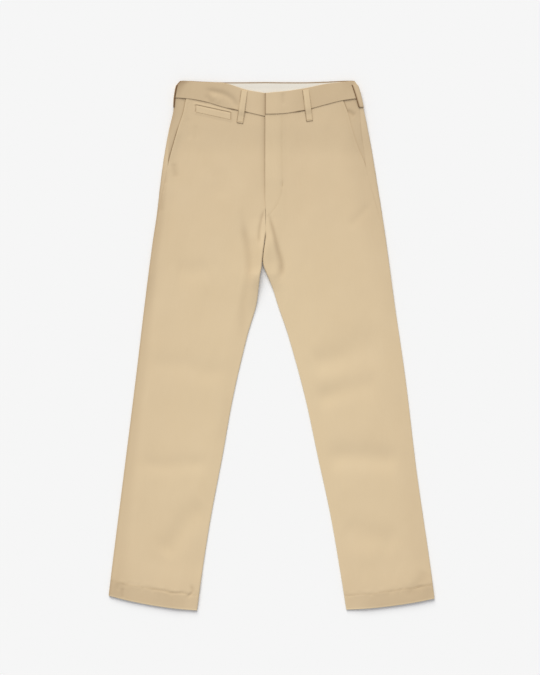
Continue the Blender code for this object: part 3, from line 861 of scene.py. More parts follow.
print("the coin pocket is", round(WELT_LONG), "mm long")


# %% Places on a front
def front_height(side, x, y):
    """The top of a front with all that is sewn into it."""
    if side == RIGHT:
        return front_top(side, x, y) + welt_lip(x, y)
    return front_top(side, x, y) + fly_raise(x, y) + bell(x, y, -0.35, 1.6, J_STITCH)


def front_place(side, up, distance, depth=0.0):
    """x, y and z of a place on a front panel."""
    x, y, drop = on_leg(side, up, distance, front_waist(side), FLY_LAP[side], depth)
    hem = hem_relief(side, up, distance) * ease(distance / 12) + hem_stand(side, x, y, up)
    return joined(x, y, (front_height(side, x, y) + hem - drop) * thin(side, x, y))


knee = front_place(LEFT, np.array(400.0), np.array(100.0))
print("a place on the left knee:", knee.round(1))

# %% [markdown]
# ## Painted shade, painted light and wear
#
# Shade and light are painted into the colour as tone, not made as shape. Shade is painted along
# ditches, gaps, folded edges, creases and thick places, and beside raised edges. Thighs and knees
# are painted paler, for where light falls and for wear. A texture could be painted for that. Short
# tables and hills do it here, so that the tones stay on their seams when a seam is moved.

# %% Tones along the legs
LIGHT_AND_WEAR = (  # y, right, left
    (-530, 0, 0),
    (-450, 0.05, 0.05),
    (-360, 0.15, 0.14),
    (-200, 0.16, 0.17),
    (0, 0.15, 0.20),
    (150, 0.14, 0.17),
    (270, 0.05, 0.06),
    (340, 0, 0),
)
EDGE_SHADE = (  # y, how much shade is painted beside the right outseam, over how far, and for the left
    (-530, 0.10, 60, 0.05, 60),
    (-400, 0.09, 40, 0.05, 60),
    (-200, 0.12, 30, 0.03, 50),
    (0, 0.12, 28, 0.02, 50),
    (85, 0.15, 26, 0.03, 50),
    (150, 0.18, 24, 0.04, 60),
    (330, 0.17, 20, 0.09, 80),
    (400, 0.06, 16, 0.10, 80),
    (500, 0.08, 12, 0.08, 60),
)
RIM_SHADE = (0.22, 0.0)  # how much more shade is painted on the very rim


def edge_shade(side, x, y):
    """Painted shade beside the outseam: level near it, eased out at the table's reach, and darkest at the
    rim.
    """
    off = np.abs(x - outer_x(side, y))
    strength, reach = (read(EDGE_SHADE, 1 + 2 * side + k, y) for k in range(2))
    rim = RIM_SHADE[side] * hill(off, 3)
    return strength * (1 - between(off, 0.2 * reach, reach)) + rim


def light_and_wear_zone(side, x, y):
    """Thighs and knees are painted lighter, more so towards the inseam: painted light and wear."""
    across = np.abs(x - outer_x(side, y)) / np.abs(inner_x(side, y) - outer_x(side, y))
    return read(LIGHT_AND_WEAR, 1 + side, y) * mix(0.55, 1.3, ease(across))


print("worn at the inside of the knee:", round(float(light_and_wear_zone(LEFT, 40.0, 0.0)), 2))

# %% Tones at the waist and the fly
SEAM_BOLD = ((-80, 9), (-55, 4), (57, 12), (82, 4))  # x, half width: loops push the waist seam up, and its painted shade is bold there
FLY_LINE = (  # y, how much shade is painted along the fly's edge
    (262, 0),
    (277, 0.14),
    (294, 0.08),
    (312, 0.20),
    (345, 0.37),
    (400, 0.48),
)
FLY_SHADE = (  # y, how much shade is painted on the right half beside the fly's edge
    (200, 0),
    (262, 0.02),
    (300, 0.03),
    (330, 0.14),
    (400, 0.24),
    (474, 0.30),
    (550, 0.24),
)


def seam_shade(x):
    """How much shade is painted in the waist seam's ditch along it."""
    return 0.03 + 0.55 * sum(hill(x - at, wide) for at, wide in SEAM_BOLD)


def fly_shade(x, y):
    """Painted shade on the right half's cloth beside the fly's edge, less and less further down."""
    off = WAIST_CENTRE_X - x
    return read(FLY_SHADE, 1, y) * np.exp(-np.maximum(off, 0) / 4.5) * between(off, -3, 0)


print("the fly's edge is darkest at y =", FLY_LINE[-1][0])

# %% A front's grid
MOUTH_FOOT = ((388, 402), (375, 392))  # y: the side seam opens into the pocket's mouth
FLY_FOOT = (245, 262)  # the centre seam opens into the fly
LEGS_PART = (246, 228)  # below here the two legs aren't joined
NARROW = (160, 190)  # above here the space between the legs is narrow, and shade is painted beside it
MIDDLE_STEP = (0.0095, 0.0145)  # of the width: finer on the right, for the coin pocket
ROW_STEP = (1.0, 1.7)  # up the top of the front, in mm


def front_grid(side):
    """The grid's lengths of cloth up and across, and the shares of mouth, parted legs and dark gap.

    Its columns go from the pocket's mouth to the inseam, a little past each where they are sewn.
    """
    waist = front_waist(side)
    top = (985, WAIST_UP + TUCK, ROW_STEP[side])
    up = np.concatenate([HEM_UP[:-1], spaced((45, 640, 4.2), (640, 985, 2.5), top)])[:, None]
    along, depth = hem_path(up)
    _, y0, _, y1 = leg_row(side, along, waist)
    mouth, fly = between(y0, *MOUTH_FOOT[side]), between(y1, *FLY_FOOT)
    apart = between(y1, *LEGS_PART)
    start = mouth_at(side, y0) - SEWN * (1 - mouth)
    end = leg_width(side, along, waist, FLY_LAP[side]) + SEWN * (1 - fly)
    fractions = spaced((0, 0.17, 0.016), (0.17, 0.72, MIDDLE_STEP[side]), (0.72, 1, 0.0125))
    distance = columns_of(start, end, fractions)
    return up, along, depth, distance, start, end, mouth, apart, between(y1, *NARROW) * apart


print("a front has", len(front_grid(LEFT)[0]), "rows")


# %% The fronts
def front(side):
    """A front panel: its place on the tube with sewn edges, and its painted shade, painted light and wear.
    """
    up, along, depth, distance, start, end, mouth, apart, gap = front_grid(side)
    from_start, from_end = distance - start, end - distance
    sewn = seam_ditch(from_start) * (1 - mouth) + seam_ditch(from_end) * apart
    outer = front_place(side, along, distance, depth + sewn * (depth < HEM_FOLD))
    x, y = outer[..., 0], outer[..., 1]
    outer[..., 2] += seam_puckers(along, from_start, 21 + side) * (1 - mouth)
    if side == RIGHT:  # this mouth gapes
        gape = between(y, 384, 405) * between(y, 462, 440)
        outer[..., 2] += 0.8 * gape * hill(from_start, 9)
    # painted shade: in the side seam, in the dark gap between the legs, on the hem, in narrow creases,
    # beside the outseam, towards the waist and under the waist seam's step
    painted_shade = patchy(along, 23 + side) * hill(from_start, 1.5) * (1 - mouth)
    painted_shade = painted_shade + 0.4 * gap * hill(from_end, 2.2)
    painted_shade = painted_shade + hem_shade(side, up, distance) + crease_shade(side, x, y) + edge_shade(side, x, y)
    painted_shade = painted_shade + (0.08, 0.09)[side] * between(y, 380, 520)
    painted_shade = painted_shade + seam_shade(x) * hill(waistline(SEAM, side, x) - y, 1.8)
    # painted light and wear on the thighs and knees, and painted light on the mouth's folded edge
    light_and_wear = light_and_wear_zone(side, x, y) + (0.25, 0.1)[side] * hill(from_start, 1.8) * mouth
    if side == RIGHT:
        outside, inside, foot = in_welt(x, y)
        # painted shade round the coin pocket's opening, and beside the fly's edge under the left half's
        # lap
        painted_shade = painted_shade + mix(0.36, 0.10, foot) * hill(outside + inside, 1.3) + fly_shade(x, y)
    else:
        edge = x - inner_x(side, y)
        # painted shade along the fly's edge and its stitches, and painted light on a strip beside the edge
        painted_shade = painted_shade + read(FLY_LINE, 1, y) * hill(edge, 1.1) + bell(x, y, 0.03, 2.2, J_STITCH)
        light_and_wear = light_and_wear + 0.08 * between(edge, 1, 4) * between(edge, 44, 30) * between(y, 250, 300)
    # painted light on the hem's fold and on the inseam's rolled rim, which turn away from the lamp
    light_and_wear = light_and_wear + 0.9 * hill(up, 1.6) + 0.6 * apart * (1 - gap) * hill(from_end, 2.5)
    uv = joined(sign(side) * distance, up)
    made = cloth(f"front_{SIDES[side]}", outer, uv, painted_shade, CLOTH, twill, light_and_wear=light_and_wear)
    stand_in(made)


for side in (RIGHT, LEFT):
    front(side)

# %% [markdown]
# ## The backs
#
# A back lies flat on the table and comes round over the outseam's edge to the side seam. Near the
# waist that seam bends forward, to the lower end of the pocket. The seat is wider than the front,
# but a laid-out garment hides that, and its spare cloth only makes a few ridges.


# %% Back panels
def back_place(side, up, around, depth=0.0):
    """x, y and z of a place round the tube: on the front side above 0, on the back below it."""
    x, y, drop = on_leg(side, up, np.abs(around), back_waist, depth=depth)
    outer, inner = from_edges(side, x, y)
    free = ease((outer - 8) / 20) * ease((inner - 4) / 16)
    pressed = np.where(outer < inner, 1 - edge_drop(side, y) / EDGE_RADIUS, 1.0)
    ridges = free * np.maximum(creases(BACK_CREASES, side, x, y), 0)
    under = lift(y) + drop * pressed + stand(side, x, y, BACK_STAND_REACH) + ridges
    return joined(x, y, np.where(around >= 0, front_top(side, x, y) - drop, under) * thin(side, x, y))


def back(side):
    """A back panel: coarser than a front, sewn at both edges, and facing down."""
    up = np.concatenate([HEM_UP[::2], spaced((47, 640, 5.0), (640, WAIST_UP + TUCK, 3.2))])[:, None]
    along, depth = hem_path(up)
    start = -side_seam_at(side, leg_row(side, along, back_waist)[1]) - SEWN
    end = leg_width(side, along, back_waist) + SEWN
    around = -columns_of(start, end, spaced((0, 0.1, 0.012), (0.1, 0.94, 0.024), (0.94, 1, 0.012)))
    from_start, from_end = -around - start, end + around
    depth = depth + (seam_ditch(from_start) + seam_ditch(from_end)) * (depth < HEM_FOLD)
    outer = back_place(side, along, around, depth)
    x, y = outer[..., 0], outer[..., 1]
    # painted shade in the side seam, on the hem and beside the outseam; painted light and wear on the legs
    painted_shade = patchy(along, 27 + side) * hill(from_start, 1.5)
    painted_shade = painted_shade + hem_shade(side, up, around) + edge_shade(side, x, y)
    uv, light_and_wear = joined(sign(side) * around, up), light_and_wear_zone(side, x, y)
    made = cloth(f"back_{SIDES[side]}", outer, uv, painted_shade, CLOTH, twill, (0, 0, -1), light_and_wear)
    stand_in(made)


for side in (RIGHT, LEFT):
    back(side)

# %% [markdown]
# ## Slanted pockets and the coin pocket
#
# Behind each slanted mouth lies a facing, cut from the same twill and sewn into the side seam and
# the waist. The mouth's folded edge stands a little above it, and that step's shadow, with painted
# shade on the facing beside it, draws the dark line. The coin pocket is a narrow folded welt on the
# right front, sunk along its upper edge.

# %% Facings
WRINKLE = ((158, 494), (165, 490), (176, 482))
SIDE_WRINKLE = ((186, 470), (189, 448), (193, 425))
FACING_SUNK = (1.35, 1.05)  # how far it lies below the front
FACING_BEHIND = 22  # how far it runs on behind the mouth


def facing(side):
    """The strip from the side seam to beyond the mouth, sunk below the front, with painted shade at the
    mouth.
    """
    up = spaced((LEG_LONG + 0.38 * SEAT_LONG, WAIST_UP + TUCK, 2.0))[:, None]
    _, y0, _, _ = leg_row(side, up, front_waist(side))
    opened = between(y0, 374, 396)
    start, mouth = side_seam_at(side, y0) - SEWN * opened, mouth_at(side, y0)
    distance = columns_of(start, mouth + FACING_BEHIND, spaced((0, 1, 0.03)))
    off = distance - start
    x, y, drop = on_leg(side, up, distance, front_waist(side), depth=seam_ditch(off) * opened)
    share = ease(off / np.maximum(0.85 * (mouth - start), 2.0))
    sunk = FACING_SUNK[side] * mix(1, share, opened)
    wrinkle = bell(x, y, -0.8, (4, 5), WRINKLE) if side == LEFT else 0.0
    outer = joined(x, y, front_top(side, x, y) - drop - sunk + wrinkle)
    # painted shade over the facing, more towards the waist, beside the outseam, along the side seam, at
    # the mouth under the front's edge, and in the wrinkles
    painted_shade = (0.08, 0.05)[side] + 0.06 * between(y, 440, 500) + edge_shade(side, x, y)
    painted_shade = painted_shade + 0.05 * hill(off, 1.5)
    lower, upper = between(y, 380, 400) * between(y, 470, 445), between(y, 488, 500)
    deep = 0.3 + 0.35 * lower if side == RIGHT else 0.05 + 0.3 * upper
    painted_shade = painted_shade + deep * hill(distance - mouth, 2.2)
    if side == LEFT:
        painted_shade = painted_shade + bell(x, y, (0.17, 0.1), 5, WRINKLE)
        painted_shade = painted_shade + bell(x, y, 0.08, (2.5, 3), SIDE_WRINKLE)
    uv = joined(sign(side) * distance, up)
    made = cloth(f"pocket_facing_{SIDES[side]}", outer, uv, painted_shade, CLOTH, twill)
    stand_in(made)


for side in (RIGHT, LEFT):
    facing(side)

# %% Coin pocket welt
WELT_GAP, WELT_UP = 0.7, 0.6  # between the welt and its opening, and its top above the front


def welt_place(along, down, height):
    """A slanted strip: along it from its outer corner, and down from its upper edge."""
    x = mix(WELT_FROM[0], WELT_TO[0], along)
    y = mix(WELT_FROM[1], WELT_TO[1], along) - down
    return joined(x, y, front_top(RIGHT, x, y) + height)


share = WELT_GAP / WELT_LONG
along = spaced((share, 0.03, 0.004), (0.03, 0.97, 0.025), (0.97, 1 - share, 0.004))[None, :]
low, high = WELT_GAP, WELT_DEEP - 0.4
down = spaced((low, low + 1.5, 0.25), (low + 1.5, high - 1.5, 1.5), (high - 1.5, high, 0.25))[:, None]
outer = welt_place(along, down, WELT_UP - 0.5 * between(down, low + 3, low))
uv = joined(along * WELT_LONG, -down)
# painted shade on the welt, darkest along its top, under the opening's lip
painted_shade = 0.045 + 0.12 * hill(down - low, 1.2) + 0 * along
welt = cloth("coin_pocket_welt", outer, uv, painted_shade, 1.0, twill)
stand_in(welt)

# %% [markdown]
# ## Waistband
#
# The waistband is two layers of twill with a stiff interlining, so it is thicker than the legs and
# stands above them. It closes left over right at the fly. Inside the back, a cream cotton strip
# covers its seams, and shows above the front's lower edge.

# %% The band's surface
BAND, BAND_RISE, BAND_BACK_RISE = 1.8, 1.5, 0.5
BAND_UNDERLAP = 26.0
BAND_START = 0.05  # of cloth, at the middle of the side's roll
BAND_FOLD = ((-138, 536), (-118, 532), (-99, 527), (-83, 517), (-75, 506), (-72, 494))
BAND_DIP = ((24, 530), (25, 505))
BAND_CREASES = (  # side, height, half width, painted shade, path
    (RIGHT, -1.3, (5.5, 7), 0, BAND_FOLD),
    (RIGHT, 0.9, (6, 7), 0, ((-122, 524), (-108, 510))),
    (RIGHT, -0.5, (4, 4.5), 0, ((-138, 524), (-124, 506))),
    (LEFT, -0.5, 4, 0, BAND_DIP),
)
FOLD_SHADE = ((-135, 534), (-129, 520), (-122, 508))
LAP = 2.2  # how far the left half of the closed waistband lies above the right half


def band_top(side, x, y):
    """The waistband's surface: the front's form without its creases, and creases of its own."""
    outer = np.abs(x - outer_x(side, y))
    sink = SINK * ease(outer / SINK_REACH)
    soft = add_bells(0.22 * noise(x, y, 26.0, 41 + side), BAND_CREASES, side, x, y)
    lap = LAP * (1 - between(x - WAIST_CENTRE_X, FLY_RAISE_FROM, FLY_RAISE_TO)) if side == LEFT else 0.0
    return EDGE_TOP + lift(y) - sink + BAND_RISE + ease(outer / 14) * soft + lap


def band_rows(step=2.4):
    """Shares of the band's height, fine at both edges. The step is for a band 40 mm high."""
    return spaced((0, 0.06, 0.008), (0.06, 0.94, step / 40), (0.94, 1, 0.008))[:, None]


def band_shade(side, x, y, v):
    """Painted shade at the seam, at the side's corner, along the top, in the fold and by the closing's
    edge.
    """
    from_side = np.abs(x - outer_x(side, y))
    if side == RIGHT:
        corner = mix(0.09, 0.33, v * v) * (1 - between(from_side, mix(3, 10, v), mix(15, 26, v)))
        corner = corner + 0.6 * v * hill(from_side, 4)
    else:
        corner = 0.05 * between(v, 0.3, 0.8) * (1 - between(from_side, 15, 45))
    base = mix(0.06, 0.16, between(np.abs(x - WAIST_CENTRE_X), 20, 90))
    painted_shade = base + corner + seam_shade(x) * hill(v, 0.03) + 0.12 * hill(1 - v, 0.02)
    if side == RIGHT:
        painted_shade = painted_shade + bell(x, y, 0.07, (5, 6), FOLD_SHADE) + fly_shade(x, y)
        return painted_shade + bell(x, y, 0.07, (5, 5.5), np.add(BAND_FOLD, (2, 3)))
    return painted_shade + 0.8 * hill(x - WAIST_CENTRE_X, 1.5) + bell(x, y, 0.05, 3, BAND_DIP)


print("the band's top is", round(float(band_top(LEFT, 60.0, 510.0)), 1), "mm high")


# %% Front waistband
def waistband_front(side):
    """From the side to the closing. The right half runs on under the left one, and is narrower there."""
    radius = EDGE_RADIUS + BAND_RISE
    v = band_rows()
    side_x = outer_x(side, BACK_SEAM_Y)
    edge_x = outer_x(side, mix(waistline(SEAM, side, side_x), waistline(TOP, side, side_x), v))
    end_x = WAIST_CENTRE_X + (BAND_UNDERLAP if side == RIGHT else 0.0)
    length = np.abs(end_x - edge_x) - radius * (1 - QUARTER)
    distance = columns_of(0 * v + BAND_START, length, spaced((0, 1, 0.0125)))
    inside, drop = roll(distance, radius)
    x = edge_x - sign(side) * inside
    under = between(x, WAIST_CENTRE_X, WAIST_CENTRE_X + 5) if side == RIGHT else 0.0
    top = mix(waistline(TOP, side, x), waistline(TOP, LEFT, x) - 2.0, under)
    bottom = mix(waistline(SEAM, side, x) - 0.4, waistline(SEAM, LEFT, x) + 1.5, under)
    y = mix(bottom, top, v)
    outer = joined(x, y, band_top(side, x, y) - drop)
    uv, painted_shade = joined(distance, v * 40), band_shade(side, x, y, v)
    made = cloth(f"waistband_front_{SIDES[side]}", outer, uv, painted_shade, BAND, twill)
    stand_in(made)


for side in (RIGHT, LEFT):
    waistband_front(side)


# %% Back waistband
def band_around(u, v, rise):
    """The back band: across the back, rolling up at both sides. u is -1 and 1 at the sides."""
    radius = EDGE_RADIUS + rise
    edge_y = mix(BACK_SEAM_Y, waistline(BACK_TOP, LEFT, outer_x(LEFT, BACK_SEAM_Y)), v)
    edge_x = np.where(u < 0, outer_x(RIGHT, edge_y), outer_x(LEFT, edge_y))
    half = np.abs(WAIST_CENTRE_X - edge_x) - radius * (1 - QUARTER)
    distance = BAND_START + (1 - np.abs(u)) * (half - BAND_START)
    inside, drop = roll(distance, radius)
    x = edge_x - np.where(u < 0, -1, 1) * inside
    y = mix(back_waist(x) - 0.4, waistline(BACK_TOP, LEFT, x), v)
    return joined(x, y, lift(y) - rise + drop), u * half


v = band_rows(4.0)
near = 1 - spaced((0, 0.05, 0.004), (0.05, 1, 0.03))
outer, across = band_around(np.concatenate([-near, near[-2::-1]])[None, :] + 0 * v, v, BAND_BACK_RISE)
# painted shade on the back band, more along its seam, and a dark line along its top edge
painted_shade = 0.1 + 0.2 * hill(v, 0.03) + 0.6 * between(v, 0.88, 0.96) + 0 * across
uv = joined(across, v * 40)
band_back = cloth("waistband_back", outer, uv, painted_shade, BAND, twill, (0, 0, -1))
stand_in(band_back)

# %% Waistband lining
x = spaced((-190.0, -186.0, 0.6), (-186.0, 172.0, 6.0), (172.0, 176.0, 0.6))[None, :]
v = band_rows(4.0)
y = mix(BACK_SEAM_Y + 0.4, waistline(BACK_TOP, LEFT, x) - 2.6, v)
z = lift(y) + 2.9 + 0.25 * noise(x, y, 30.0, 51) + 0.5 * between(v, 0.6, 0.9)
# painted shade along the lining's top, under the band's rolled edge
painted_shade = 0.5 * between(v, 0.93, 1.0) + 0 * x
band_lining = cloth("waistband_lining_back", joined(x, y, z), joined(x, y), painted_shade, 0.8, lining)
stand_in(band_lining)

# %% [markdown]
# ## Belt loops
#
# A belt loop is a strip folded in three and stitched along both edges. Its ends are turned under
# and held by a bar of thread, so they are thick and throw a small shadow. Between its ends the loop
# stands a little away from the band.

# %% Front loops
LOOP_WIDE, LOOP = 13.5, 1.3
LOOP_CLEAR = 0.1  # between a loop and what it lies on
EDGE_COLUMN = 7  # of a loop's grid: 1.35 mm in from its edge, where its stitches run
LOOP_ACROSS = spaced((0, 0.1, 0.0143), (0.1, 0.9, 0.08), (0.9, 1, 0.0143))[None, :]
FRONT_LOOPS = (  # side, top x, top y, bottom x, bottom y
    (RIGHT, -56.8, 535.0, -66.2, 467.2),
    (LEFT, 71.6, 536.5, 80.0, 471.5),
)
loop_runs = []  # where stitches are to run along loops


def loop_shade(across, t, dark):
    """Painted shade at both edges, least at the middle of its length, and at the foot. across is from -1
    to 1.
    """
    edges = dark * hill(across + 1, 0.14) + 0.15 * ease(1 - 2 * t) * hill(across - 1, 0.14)
    return 0.05 + edges * (1 - 0.7 * hill(t - 0.52, 0.14)) + 0.1 * hill(t, 0.026)


def loop_front(side, top_x, top_y, bottom_x, bottom_y):
    """A leaning strip from the front up over the band, arched between its thick ends."""
    lean = (top_x - bottom_x) / (top_y - bottom_y)
    t = spaced((0, 0.03, 0.004), (0.03, 0.97, 0.03), (0.97, 1, 0.004))[:, None]
    out = LOOP_WIDE * (LOOP_ACROSS - 0.5)
    x = mix(bottom_x, top_x, t) + out
    y = mix(bottom_y, top_y, t) - out * lean
    seam = waistline(SEAM, side, x)
    on_band = between(y, seam - 13, seam + 9)
    carried = mix(front_top(side, x, y), band_top(side, x, y), on_band) + 2 * on_band * (1 - on_band)
    arch = np.sin(math.pi * np.clip(t * 1.05, 0, 1)) ** 0.8
    end = 0.15 * between(t, 0.11, 0.02)
    outer = joined(x, y, carried + LOOP_CLEAR + LOOP + arch + end)
    across = 2 * out / LOOP_WIDE
    # a painted highlight down the loop's face, left of its middle and fainter right of it, not at its foot
    light_and_wear = 0.22 * hill(across + 0.35, 0.3) * between(t, 0.05, 0.3) + 0.1 * hill(across - 0.5, 0.3)
    uv, painted_shade = joined(out, t * 65), loop_shade(across, t, (0.75, 0.85)[side])
    made = cloth(f"belt_loop_front_{SIDES[side]}", outer, uv, painted_shade, LOOP + end, twill, light_and_wear=light_and_wear)
    stand_in(made)
    loop_runs.extend([outer[2:-2, EDGE_COLUMN], outer[2:-2, -1 - EDGE_COLUMN]])


for row in FRONT_LOOPS:
    loop_front(*row)

# %% Side loops
SIDE_LOOP_Y = (500.0, 547.0)
SIDE_LOOP, SIDE_ARCH = 1.0, (1.0, 0.6)
SIDE_DARK = (0.2, 0.17)  # how wide the painted shade at its edge is, as a share of the loop's width
SIDE_LOOPS = (  # side, cloth round the edge at the top: from, to, and at the bottom: from, to
    (RIGHT, -9.0, 5.0, -9.0, 4.4),
    (LEFT, 1.0, 15.5, -2.5, 13.0),
)
LOOP_UP = spaced((0, 0.04, 0.006), (0.04, 0.96, 0.04), (0.96, 1, 0.006))[:, None]


def loop_side(side, top_from, top_to, bottom_from, bottom_to):
    """A strip round the band's edge, moved out along the wall's normal, but never below the table."""
    t, u = LOOP_UP, spaced((0, 0.1, 0.015), (0.1, 0.9, 0.05), (0.9, 1, 0.015))[None, :]
    distance = mix(mix(bottom_from, bottom_to, u), mix(top_from, top_to, u), t)
    y = mix(*SIDE_LOOP_Y, t) + 0 * u
    out = LOOP_CLEAR + SIDE_LOOP + SIDE_ARCH[side] * np.sin(math.pi * t) ** 0.8 + 0 * u
    radius = EDGE_RADIUS + np.where(distance >= 0, BAND_RISE, BAND_BACK_RISE)
    inside, drop = roll(np.abs(distance), radius)
    lean = np.maximum(QUARTER - np.abs(distance) / radius, 0)
    x = outer_x(side, y) - sign(side) * (inside - out * np.sin(lean))
    over = band_top(side, x, y) - drop + out * np.cos(lean)
    under = np.maximum(lift(y) - BAND_BACK_RISE + drop - out * np.cos(lean), 0.05)
    outer = joined(x, y, np.where(distance >= 0, over, under))
    # painted shade along the side loop's edge on the band's face, a little more towards the back, and at
    # its foot
    painted_shade = 0.10 + hill(1 - u, SIDE_DARK[side]) + 0.1 * (1 - u) + 0.25 * hill(t, 0.04)
    name, uv = f"belt_loop_side_{SIDES[side]}", joined(u * LOOP_WIDE, t * 47)
    made = cloth(name, outer, uv, painted_shade, SIDE_LOOP, twill, (sign(side), 0, 0.3))
    stand_in(made)


for row in SIDE_LOOPS:
    loop_side(*row)

# %% Centre back loop
out = LOOP_WIDE * (LOOP_ACROSS - 0.5)
y = mix(496.5, 551.5, LOOP_UP) + 0 * out
outer, uv = joined(WAIST_CENTRE_X + out, y, 0.15), joined(out, LOOP_UP * 55)
loop_back = cloth("belt_loop_back_center", outer, uv, 0.08, LOOP, twill, (0, 0, -1))
stand_in(loop_back)

# %% Fly shield
x, y = spaced((-25.0, 20.0, 3.0))[None, :], spaced((300.0, 476.0, 5.0))[:, None]
shield = cloth("fly_shield", joined(x, y, lift(y) + 2.9), joined(x, y), 0.0, 1.2, twill)
stand_in(shield)

# %% [markdown]
# ## Stitches
#
# The seams that show are sewn from the right side with a thread of the cloth's own colour, about
# 3 mm a stitch. A texture could draw them, but a real stitch dips into the cloth at both ends and
# stands above it between. So each is a small spindle of 18 faces. All the spindles of a seam are
# made at once: places are spread evenly along the seam, and each takes its direction there.


# %% Thread
def thread_finish():
    """Spun thread: two plies twisted round each other, drawn at 1 mm a turn, and a soft sheen."""
    made, tree, shader = finish_of("spun_thread", {"Roughness": 0.75, "Sheen Weight": 0.1})
    uv = add(tree, "UVMap", uv_map="cut").outputs["UV"]
    turned = add(tree, "Mapping", {"Vector": uv, "Rotation": (0, 0, math.radians(40))})
    wave = {"Vector": turned.outputs["Vector"], "Scale": wave_scale(1.0)}
    plies = add(tree, "TexWave", wave).outputs["Fac"]
    tint = add(tree, "Mix", {0: plies, 6: srgb("cbb389"), 7: srgb("dac39c")}, data_type="RGBA")
    tree.links.new(tint.outputs[2], shader.inputs["Base Color"])
    bumped = add(tree, "Bump", {"Height": plies, "Strength": 0.5, "Distance": 0.1 * MM})
    tree.links.new(bumped.outputs["Normal"], shader.inputs["Normal"])
    return made


thread = thread_finish()
print("thread:", thread.name)

# %% Places for stitches
STITCH_STEP, STITCH_LONG, STITCH_THICK = 3.1, 2.5, 0.55  # from one to the next, long and thick


def unit(vectors):
    """Vectors divided by their lengths."""
    return vectors / np.linalg.norm(vectors, axis=1, keepdims=True)


def stitch_places(runs, step, under):
    """The middles of the stitches along all the runs, the way each points, and which way is up."""
    places, ways, ups = [], [], []
    for number, run in enumerate(runs):
        along = along_path(run)
        at = (np.arange(int(along[-1] / step)) + 0.5) * step
        back_end, front_end = (
            joined(*(np.interp(at + shift, along, run[:, k]) for k in range(3))) for shift in (-0.5, 0.5)
        )
        places.append((back_end + front_end) / 2)
        ways.append(front_end - back_end)
        ups.append(np.full((len(at), 1), -1.0 if number in under else 1.0) * (0, 0, 1))
    return np.concatenate(places), unit(np.concatenate(ways)), np.concatenate(ups)


print("a metre of seam holds", round(1 / (STITCH_STEP * MM)), "stitches")

# %% Spindles
RINGS, SIDES_ROUND = 5, 4
STITCH_DIP = 0.25  # how far its ends sink into the cloth


def stitches(name, runs, step=STITCH_STEP, long=STITCH_LONG, under=()):
    """Spindles with four sides and five rings.

    A ring's radius is the root of 1 less 0.85 u squared, where u goes from -1 to 1 along the stitch,
    and its middle sinks by u squared. The runs whose numbers are in under are seen from below.
    """
    place, way, ups = stitch_places(runs, step, under)
    beside = unit(np.cross(way, ups))
    above = np.cross(beside, way)
    u = np.linspace(-1, 1, RINGS)[:, None]
    radius = STITCH_THICK / 2 * np.sqrt(1 - 0.85 * u**2)
    turn = (np.arange(SIDES_ROUND) + 0.5) * QUARTER
    far = (u * long / 2 + 0 * turn).ravel()
    side_off = (radius * np.cos(turn)).ravel()
    up_off = (radius * np.sin(turn) - STITCH_DIP * u**2).ravel()
    offsets = ((way, far), (beside, side_off), (above, up_off))
    points = place[:, None] + sum(axis[:, None] * off[:, None] for axis, off in offsets)
    ring = np.arange(RINGS * SIDES_ROUND - SIDES_ROUND).reshape(-1, SIDES_ROUND)
    after = np.roll(ring, -1, axis=1)
    walls = joined(ring, after, after + SIDES_ROUND, ring + SIDES_ROUND).reshape(-1, 4)
    one = np.concatenate([walls, [[3, 2, 1, 0]], [[16, 17, 18, 19]]])[:, ::-1]
    faces = (one + len(far) * np.arange(len(place))[:, None, None]).reshape(-1, 4)
    uv = np.tile(joined(far, np.tile(np.arange(4.0), RINGS) * 0.4), (len(place), 1))
    tones = [np.zeros(len(uv))] * 2
    made = piece(name, points.reshape(-1, 3), faces, uv, tones, thread)
    print(name, len(place), "stitches")


# %% Hem stitches
hem_runs = []
for side in (RIGHT, LEFT):
    for waist in (front_waist(side), back_waist):
        wide = float(leg_width(side, np.array(HEM_DEEP[side]), waist))
        distance = np.linspace(2.0, wide - 2.0, 90)
        up, _ = hem_line(side, distance)
        if waist is back_waist:
            run = back_place(side, up, -distance)
            run[:, 2] = np.maximum(run[:, 2] - 0.05, 0.28)  # under the cloth, but above the table
        else:
            run = front_place(side, up, distance) + (0, 0, 0.1)
        hem_runs.append(run)
stitches("hem_stitches", hem_runs, under=(1, 3))

# %% Pocket stitches
MOUTH_STITCH = 6.0  # from the mouth's folded edge
pocket_runs = []
for side, lowest in ((RIGHT, 396.0), (LEFT, 386.0)):
    up = np.linspace(LEG_LONG + 0.5 * SEAT_LONG, WAIST_UP - 1, 80)
    _, y0, _, _ = leg_row(side, up, front_waist(side))
    up, y0 = up[y0 > lowest], y0[y0 > lowest]
    pocket_runs.append(front_place(side, up, mouth_at(side, y0) + MOUTH_STITCH) + (0, 0, 0.1))
s = np.linspace(0.02, 0.98, 40)
pocket_runs.append(welt_place(s, WELT_GAP + 1.4, WELT_UP - 0.4))
pocket_runs.append(welt_place(s, WELT_DEEP - 2.0, WELT_UP + 0.1))
stitches("pocket_stitches", pocket_runs)


# %% Fly and loop stitches
def tack(x, y, wide, z, angle=0.0):
    """A bar of close stitches across a strain: a short zigzag, turned by an angle."""
    dx, dy = np.linspace(-0.5, 0.5, 13) * wide, np.where(np.arange(13) % 2, 0.7, -0.7)
    cosine, sine = math.cos(angle), math.sin(angle)
    return joined(x + (dx * cosine - dy * sine), y + (dx * sine + dy * cosine), z)


